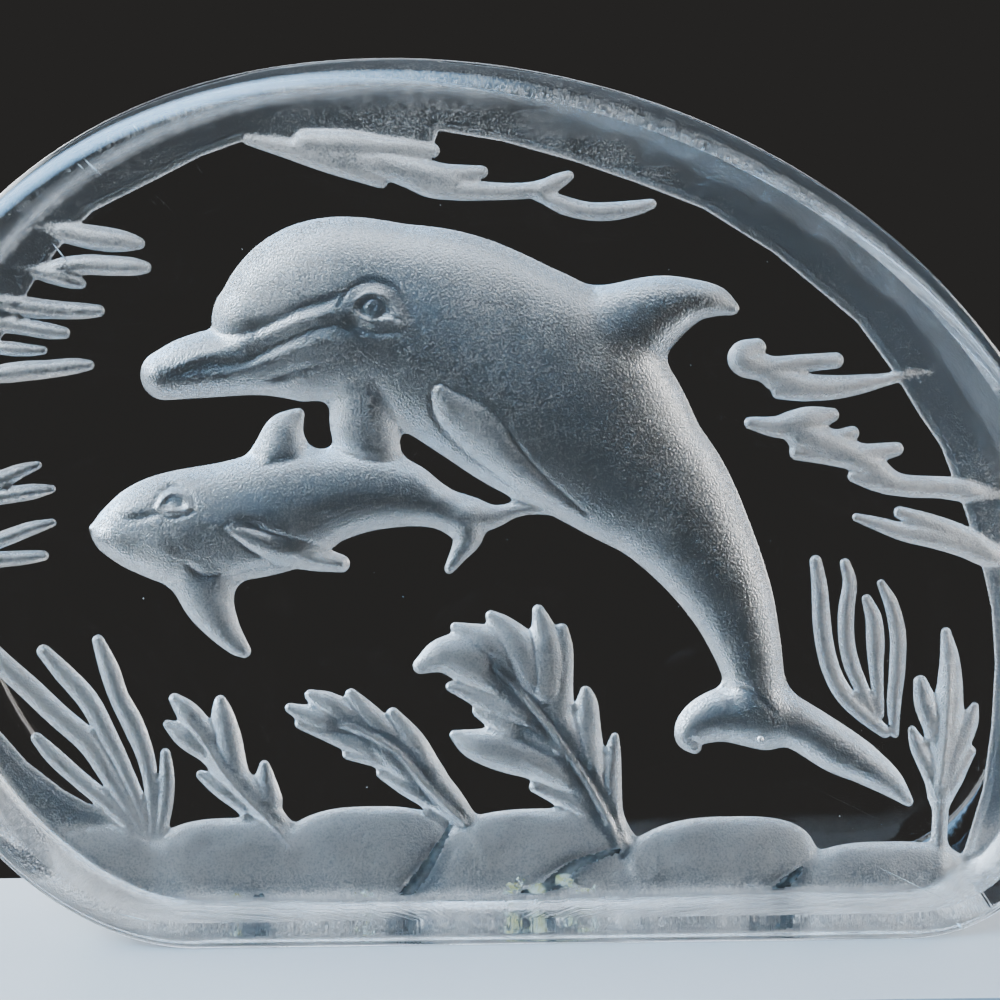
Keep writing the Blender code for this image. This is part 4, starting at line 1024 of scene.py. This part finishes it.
def small_things():
    """The seed bubble sealed in the glass, and the specks and scratches just under the front, as closed shapes."""
    points, faces, normals, kinds = [], [], [], []

    def add(places, corners, kind, inward_facing=False):
        places = np.array(places)
        middle = places.mean(axis=0)
        for face in corners:
            side = np.cross(places[face[1]] - places[face[0]], places[face[2]] - places[face[0]])
            outward = places[list(face)].mean(axis=0) - middle
            if (side @ outward < 0) != inward_facing:
                face = face[::-1]
            faces.append(tuple(corner + len(points) for corner in face))
            for corner in face:
                way = places[corner] - middle
                way /= np.linalg.norm(way)
                normals.append(-way if inward_facing else way)
            kinds.append(kind)
        points.extend(places)

    sizes = np.random.default_rng(21)
    spots = [(on_front(*start), on_front(*end), half_width) for start, end, half_width in SCRATCHES]
    outline = block_outline(WALL_STEP)
    while len(spots) < len(SCRATCHES) + DUST_COUNT:
        place = on_front(sizes.uniform(*DUST_ACROSS), sizes.uniform(*DUST_DOWN))
        radius = DUST_LEAST + DUST_MORE * sizes.random() ** 2
        if inside_line(place[None, [0, 2]], outline)[0] < 2 * FRONT_INSET:
            continue
        spots.append((place - (radius, 0, 0), place + (radius, 0, 0), radius))
    for start, end, half_width in spots:
        middle, half = (start + end) / 2, (end - start) / 2
        across = np.array([-half[2], 0, half[0]]) / np.linalg.norm(half) * half_width
        deep = np.array([0, min(half_width, SCRATCH_DEPTH), 0])
        add([middle - half, middle + half, middle - across, middle + across, middle - deep, middle + deep],
            [(a, b, c) for a in (0, 1) for b, c in ((2, 4), (4, 3), (3, 5), (5, 2))], 3)
    across, down, radius, behind = BUBBLE
    x, z = to_block(across, down)
    ball = bmesh.new()
    bmesh.ops.create_icosphere(ball, subdivisions=3, radius=radius)
    add([np.array(v.co) + (x, behind, z) for v in ball.verts], [tuple(v.index for v in f.verts) for f in ball.faces],
        0, True)
    ball.free()
    return np.array(points), faces, np.array(normals), kinds


def set_normals(mesh, points, back_faces, quads, front_faces, frosted, last, others):
    """Smooth normals over the cut and the walls, and exact ones on the two polished flats."""
    normal = np.zeros_like(points)
    for faces in (back_faces[frosted], quads):
        across = np.cross(points[faces[:, 1]] - points[faces[:, 0]], points[faces[:, -1]] - points[faces[:, 0]])
        for corner in range(faces.shape[1]):
            np.add.at(normal, faces[:, corner], across)
    normal[last] = (0, -1, 0)
    size = np.linalg.norm(normal, axis=1)
    normal[size > 0] /= size[size > 0][:, None]
    per_back = normal[back_faces.reshape(-1)]
    per_back[np.repeat(~frosted, 3)] = (0, 1, 0)
    per_front = np.tile((0.0, -1.0, 0.0), (len(front_faces) * 3, 1))
    mesh.normals_split_custom_set(np.vstack([per_back, normal[quads.reshape(-1)], per_front, others]).tolist())


def glass_block():
    """The block as one closed mesh: clear glass, frosted where it is cut, with lime and painted shade in the clefts,
    scratches and a bubble.
    """
    coarse, outline = block_outline(WALL_STEP), block_outline(FINE_WALL_STEP)
    rims = len(outline)
    flat, faces, depth, frosted, at_edge = carved_back(coarse, outline + inward(outline) * BACK_ROUND)
    points = [np.column_stack([flat[:, 0], BACK - depth, flat[:, 1]])]
    points += wall_rows(outline, depth[at_edge])
    rings = [at_edge] + [len(flat) + rims * row + np.arange(rims) for row in range(len(points) - 1)]
    quads = np.vstack([np.column_stack([ring, np.roll(ring, -1), np.roll(after, -1), after])
                       for ring, after in zip(rings[:-1], rings[1:])])
    fresh, front_faces = polished_front(points[-1], rings[-1][0], rings[-1][-1] + 1)
    points = np.vstack(points + [fresh])
    # One winding for all: outward.
    back_faces = facing(points, faces, (0, 1, 0))
    front_faces = facing(points, front_faces, (0, -1, 0))
    side = np.cross(points[quads[:, 1]] - points[quads[:, 0]], points[quads[:, 3]] - points[quads[:, 0]])
    outward = points[quads].mean(axis=1) - np.array([0, 0, BLOCK_HEIGHT / 2])
    if (side * outward).sum(axis=1).mean() < 0:
        quads = quads[:, ::-1]
    polygons = [tuple(face) for part in (back_faces, quads, front_faces) for face in part]
    main_count, main_faces = len(points), len(polygons)
    fields = fields_of(points, flat, rings, outline)
    added, added_faces, added_normals, added_kinds = small_things()
    points = np.vstack([points, added])
    polygons += [tuple(corner + main_count for corner in face) for face in added_faces]
    mesh = bpy.data.meshes.new("glass_relief_block")
    mesh.from_pydata([tuple(point) for point in points], [], polygons)
    # Materials, in the order in which main() adds them: clear, frosted, lime with painted shade in the clefts, dust and
    # scratches.
    material = np.zeros(len(polygons), np.int32)
    material[:len(back_faces)] = frosted
    # Painted shade: faces along the clefts take the near-black material; the thickest lime spots take it too, in their
    # own colour.
    painted_cleft_shade, lime = fields["painted_cleft_shade"][back_faces].mean(axis=1), fields["lime"][back_faces].mean(axis=1)
    lime *= 0.15 + np.random.default_rng(8).random(len(back_faces))
    material[:len(back_faces)][(painted_cleft_shade > CLEFT_SHADE_OVER) | (lime > LIME_OVER)] = 2
    material[len(back_faces):len(back_faces) + rims * FROSTED_ROWS] = 1
    material[main_faces:] = added_kinds
    mesh.polygons.foreach_set("material_index", material)
    mesh.polygons.foreach_set("use_smooth", np.ones(len(polygons), bool))
    set_normals(mesh, points[:main_count], back_faces, quads, front_faces, frosted, rings[-1], added_normals)
    for name, values in fields.items():
        of_all = np.zeros((len(points),) + values.shape[1:], np.float32)
        of_all[:main_count] = values
        kind, key = ("FLOAT_VECTOR", "vector") if values.ndim == 2 else ("FLOAT", "value")
        mesh.attributes.new(name, kind, "POINT").data.foreach_set(key, of_all.ravel())
    return mesh


def feed(tree, socket, value):
    """Links another node's socket to this one, or sets a plain value on it."""
    if isinstance(value, bpy.types.NodeSocket):
        tree.links.new(value, socket)
    else:
        socket.default_value = value


def node(tree, kind, **inputs):
    """A new node with the given values on its inputs: a value, or a socket to link from."""
    made = tree.nodes.new(kind)
    for name, value in inputs.items():
        feed(tree, made.inputs[name.replace("_", " ")], value)
    return made


def maths(tree, operation, *values):
    """The result of a math node."""
    made = tree.nodes.new("ShaderNodeMath")
    made.operation = operation
    for socket, value in zip(made.inputs, values):
        feed(tree, socket, value)
    return made.outputs["Value"]


def mapped(tree, value, low, high, to_low, to_high):
    """A value taken from one range to another, held at its ends."""
    return node(tree, "ShaderNodeMapRange", Value=value, From_Min=low, From_Max=high,
                To_Min=to_low, To_Max=to_high).outputs["Result"]


def mixed(tree, share, first, second):
    """Two colours mixed by a share. The mix node names its sockets alike for every type, so they go by number."""
    made = tree.nodes.new("ShaderNodeMix")
    made.data_type = "RGBA"
    for number, value in ((0, share), (6, first), (7, second)):
        feed(tree, made.inputs[number], value)
    return made.outputs[2]


def noise(tree, place, size, detail=2.0, rough=0.55):
    """Noise whose humps are about the given size in metres."""
    return node(tree, "ShaderNodeTexNoise", Vector=place, Scale=0.5 / size, Detail=detail,
                Roughness=rough).outputs["Fac"]


def attribute(tree, name, output="Fac"):
    """What the mesh says at each point under a name."""
    made = tree.nodes.new("ShaderNodeAttribute")
    made.attribute_name = name
    return made.outputs[output]


def roughen(tree, shader, height, distance, strength=1.0):
    """Fine relief of a surface, too small for the mesh."""
    bump = node(tree, "ShaderNodeBump", Height=height, Strength=strength, Distance=distance)
    tree.links.new(bump.outputs["Normal"], shader.inputs["Normal"])


def new_material(name, **values):
    """A material with these values on its shader, its node tree, the shader, and the place on the object."""
    material = bpy.data.materials.new(name)
    material.use_nodes = True
    tree = material.node_tree
    shader = tree.nodes["Principled BSDF"]
    for socket, value in values.items():
        feed(tree, shader.inputs[socket.replace("_", " ")], value)
    return material, tree, shader, node(tree, "ShaderNodeTexCoord").outputs["Object"]


def clear_glass():
    """Polished crystal: traces of handling, and fine streaks across the fire-polished wall."""
    material, tree, shader, place = new_material("polished_crystal", Base_Color=CRYSTAL_TINT,
                                                 Transmission_Weight=1.0, IOR=CRYSTAL_IOR)
    feed(tree, shader.inputs["Roughness"], mapped(tree, noise(tree, place, 0.006, 2.0, 0.6), 0.48, 0.8, 0.0, 0.035))
    streak = noise(tree, attribute(tree, "run", "Vector"), STREAK_WIDTH, 2.0, 0.65)
    roughen(tree, shader, maths(tree, "MULTIPLY", streak, attribute(tree, "streaks")), STREAK_HEIGHT)
    return material


def frosted_glass():
    """The cut surface: coarse bright grains on a finer ground, as thick as the point attribute says, which also carries
    painted shade in creases and painted highlights on ribs, lids and rims.
    """
    material, tree, shader, place = new_material("frosted_crystal", Transmission_Weight=1.0, IOR=CRYSTAL_IOR)
    cloud = noise(tree, place, CLOUD_SIZE, 3.0, 0.7)
    grain = noise(tree, place, GRAIN_SIZE, 1.0, 0.6)
    by_frost_and_painted_light = maths(tree, "MULTIPLY", maths(tree, "SUBTRACT", attribute(tree, "frost_and_painted_light"), 0.5), 0.45)
    by_cloud = maths(tree, "MULTIPLY", maths(tree, "SUBTRACT", cloud, 0.5), 0.35)
    coarse = mapped(tree, maths(tree, "ADD", grain, maths(tree, "ADD", by_frost_and_painted_light, by_cloud)), 0.37, 0.75, 0, 1)
    # Painted shade and highlights: low values of the attribute make the frost darker, high ones lighter.
    feed(tree, shader.inputs["Base Color"], mixed(tree, coarse, FROST_DULL, FROST_BRIGHT))
    feed(tree, shader.inputs["Roughness"], mapped(tree, coarse, 0, 1, FROST_FINE, FROST_COARSE))
    roughen(tree, shader, grain, GRAIN_HEIGHT)
    return material


def cleft_shade_and_lime():
    """Painted shade, near-black, in the clefts, and yellowish lime that has settled along the base."""
    material, tree, shader, place = new_material("painted_cleft_shade_and_lime", Roughness=0.9)
    spots = noise(tree, place, 0.0004, 2.0)
    pale = mixed(tree, mapped(tree, spots, 0.4, 0.6, 0, 1), LIME_YELLOW, LIME_WHITE)
    # Painted shade for the clefts, a little paler in spots.
    dark = mixed(tree, mapped(tree, spots, 0.3, 0.7, 0, 1), CLEFT_SHADE_DARK, CLEFT_SHADE_PALE)
    is_lime = mapped(tree, attribute(tree, "lime"), 0.15, 0.3, 0, 1)
    feed(tree, shader.inputs["Base Color"], mixed(tree, is_lime, dark, pale))
    return material


def dust_and_scratches():
    """Specks of dust and bruises just under the polished front, white in the light."""
    material, tree, shader, place = new_material("dust_and_scratches", Roughness=0.5)
    feed(tree, shader.inputs["Base Color"], mixed(tree, noise(tree, place, 0.0003, 2.0), DUST_GREY, DUST_WHITE))
    return material


def build_world():
    """Dark round about and soft light from overhead, so that the frosted cut stands out against the clear glass."""
    world = bpy.data.worlds.new("studio")
    bpy.context.scene.world = world
    world.use_nodes = True
    tree = world.node_tree
    way = node(tree, "ShaderNodeSeparateXYZ", Vector=node(tree, "ShaderNodeTexCoord").outputs["Generated"])
    rise = node(tree, "ShaderNodeMapRange", Value=way.outputs["Z"], From_Min=WORLD_DARK_TO,
                From_Max=WORLD_BRIGHT_FROM)
    rise.interpolation_type = "SMOOTHSTEP"
    feed(tree, tree.nodes["Background"].inputs["Color"],
         mixed(tree, rise.outputs["Result"], WORLD_DARK, WORLD_BRIGHT))


def build_lights():
    """Soft boxes aimed at the block's middle, given by the brightness of their faces, which fade out at the edges."""
    for name, place, size, radiance, color in LIGHTS:
        data = bpy.data.lights.new(name, "AREA")
        data.shape = "RECTANGLE"
        data.size, data.size_y = size
        data.energy = radiance * math.pi * size[0] * size[1]
        data.color = color
        data.use_nodes = True
        tree = data.node_tree
        spot = node(tree, "ShaderNodeSeparateXYZ", Vector=node(tree, "ShaderNodeNewGeometry").outputs["Parametric"])
        fade = 1.0
        for way in ("X", "Y"):
            off_middle = maths(tree, "ABSOLUTE", maths(tree, "SUBTRACT", spot.outputs[way], 0.5))
            to_rim = maths(tree, "SUBTRACT", 0.5, off_middle)
            fade = maths(tree, "MULTIPLY", fade, mapped(tree, to_rim, 0, LIGHT_FADE, 0, 1))
        feed(tree, tree.nodes["Emission"].inputs["Strength"], fade)
        lamp = bpy.data.objects.new(name, data)
        lamp.location = place
        aim = Vector((0, 0, BLOCK_HEIGHT / 2)) - Vector(place)
        lamp.rotation_euler = aim.to_track_quat("-Z", "Y").to_euler()
        bpy.context.scene.collection.objects.link(lamp)


def build_floor():
    """A plain pale board with rounded corners, a little larger than the block."""
    turns = np.linspace(0, 2 * math.pi, 96, endpoint=False)
    ring = [tuple(middle + size * math.copysign(abs(part) ** 0.25, part)
                  for middle, size, part in zip(FLOOR_MIDDLE, FLOOR_SIZE, (math.cos(turn), math.sin(turn))))
            for turn in turns]
    count = len(ring)
    points = [(x, y, z) for z in (FLOOR_TOP, FLOOR_TOP - FLOOR_THICKNESS) for x, y in ring]
    sides = [(i, (i + 1) % count, count + (i + 1) % count, count + i) for i in range(count)]
    mesh = bpy.data.meshes.new("floor")
    mesh.from_pydata(points, [], [tuple(range(count)), tuple(range(2 * count - 1, count - 1, -1))] + sides)
    floor = bpy.data.objects.new("floor", mesh)
    bpy.context.scene.collection.objects.link(floor)
    material, tree, shader, place = new_material("pale_floor", Roughness=0.7)
    feed(tree, shader.inputs["Base Color"], mixed(tree, noise(tree, place, 0.04, 3.0), FLOOR_DULL, FLOOR_PALE))
    roughen(tree, shader, noise(tree, place, 0.0006, 3.0), 0.0001, 0.3)
    mesh.materials.append(material)


def build_camera():
    """The camera where the photograph was taken from."""
    data = bpy.data.cameras.new("camera")
    data.sensor_width = SENSOR_WIDTH
    data.lens = SENSOR_WIDTH * CAMERA_FOCAL_SHARE
    data.clip_start = 0.01
    camera = bpy.data.objects.new("camera", data)
    bpy.context.scene.collection.objects.link(camera)
    forward = Vector((math.sin(CAMERA_YAW) * math.cos(CAMERA_PITCH), math.cos(CAMERA_YAW) * math.cos(CAMERA_PITCH),
                      math.sin(CAMERA_PITCH)))
    right = forward.cross(Vector((0, 0, 1))).normalized()
    up = right.cross(forward)
    turned_right = right * math.cos(CAMERA_ROLL) + up * math.sin(CAMERA_ROLL)
    turned_up = up * math.cos(CAMERA_ROLL) - right * math.sin(CAMERA_ROLL)
    turn = Matrix((turned_right, turned_up, -forward)).transposed().to_4x4()
    camera.matrix_world = Matrix.Translation(CAMERA_PLACE) @ turn
    bpy.context.scene.camera = camera


def main():
    block = bpy.data.objects.new("crystal_block", glass_block())
    bpy.context.scene.collection.objects.link(block)
    for material in (clear_glass(), frosted_glass(), cleft_shade_and_lime(), dust_and_scratches()):
        block.data.materials.append(material)
    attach(block, "root")
    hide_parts("glass_block")
    build_floor()
    build_world()
    build_lights()
    build_camera()


main()
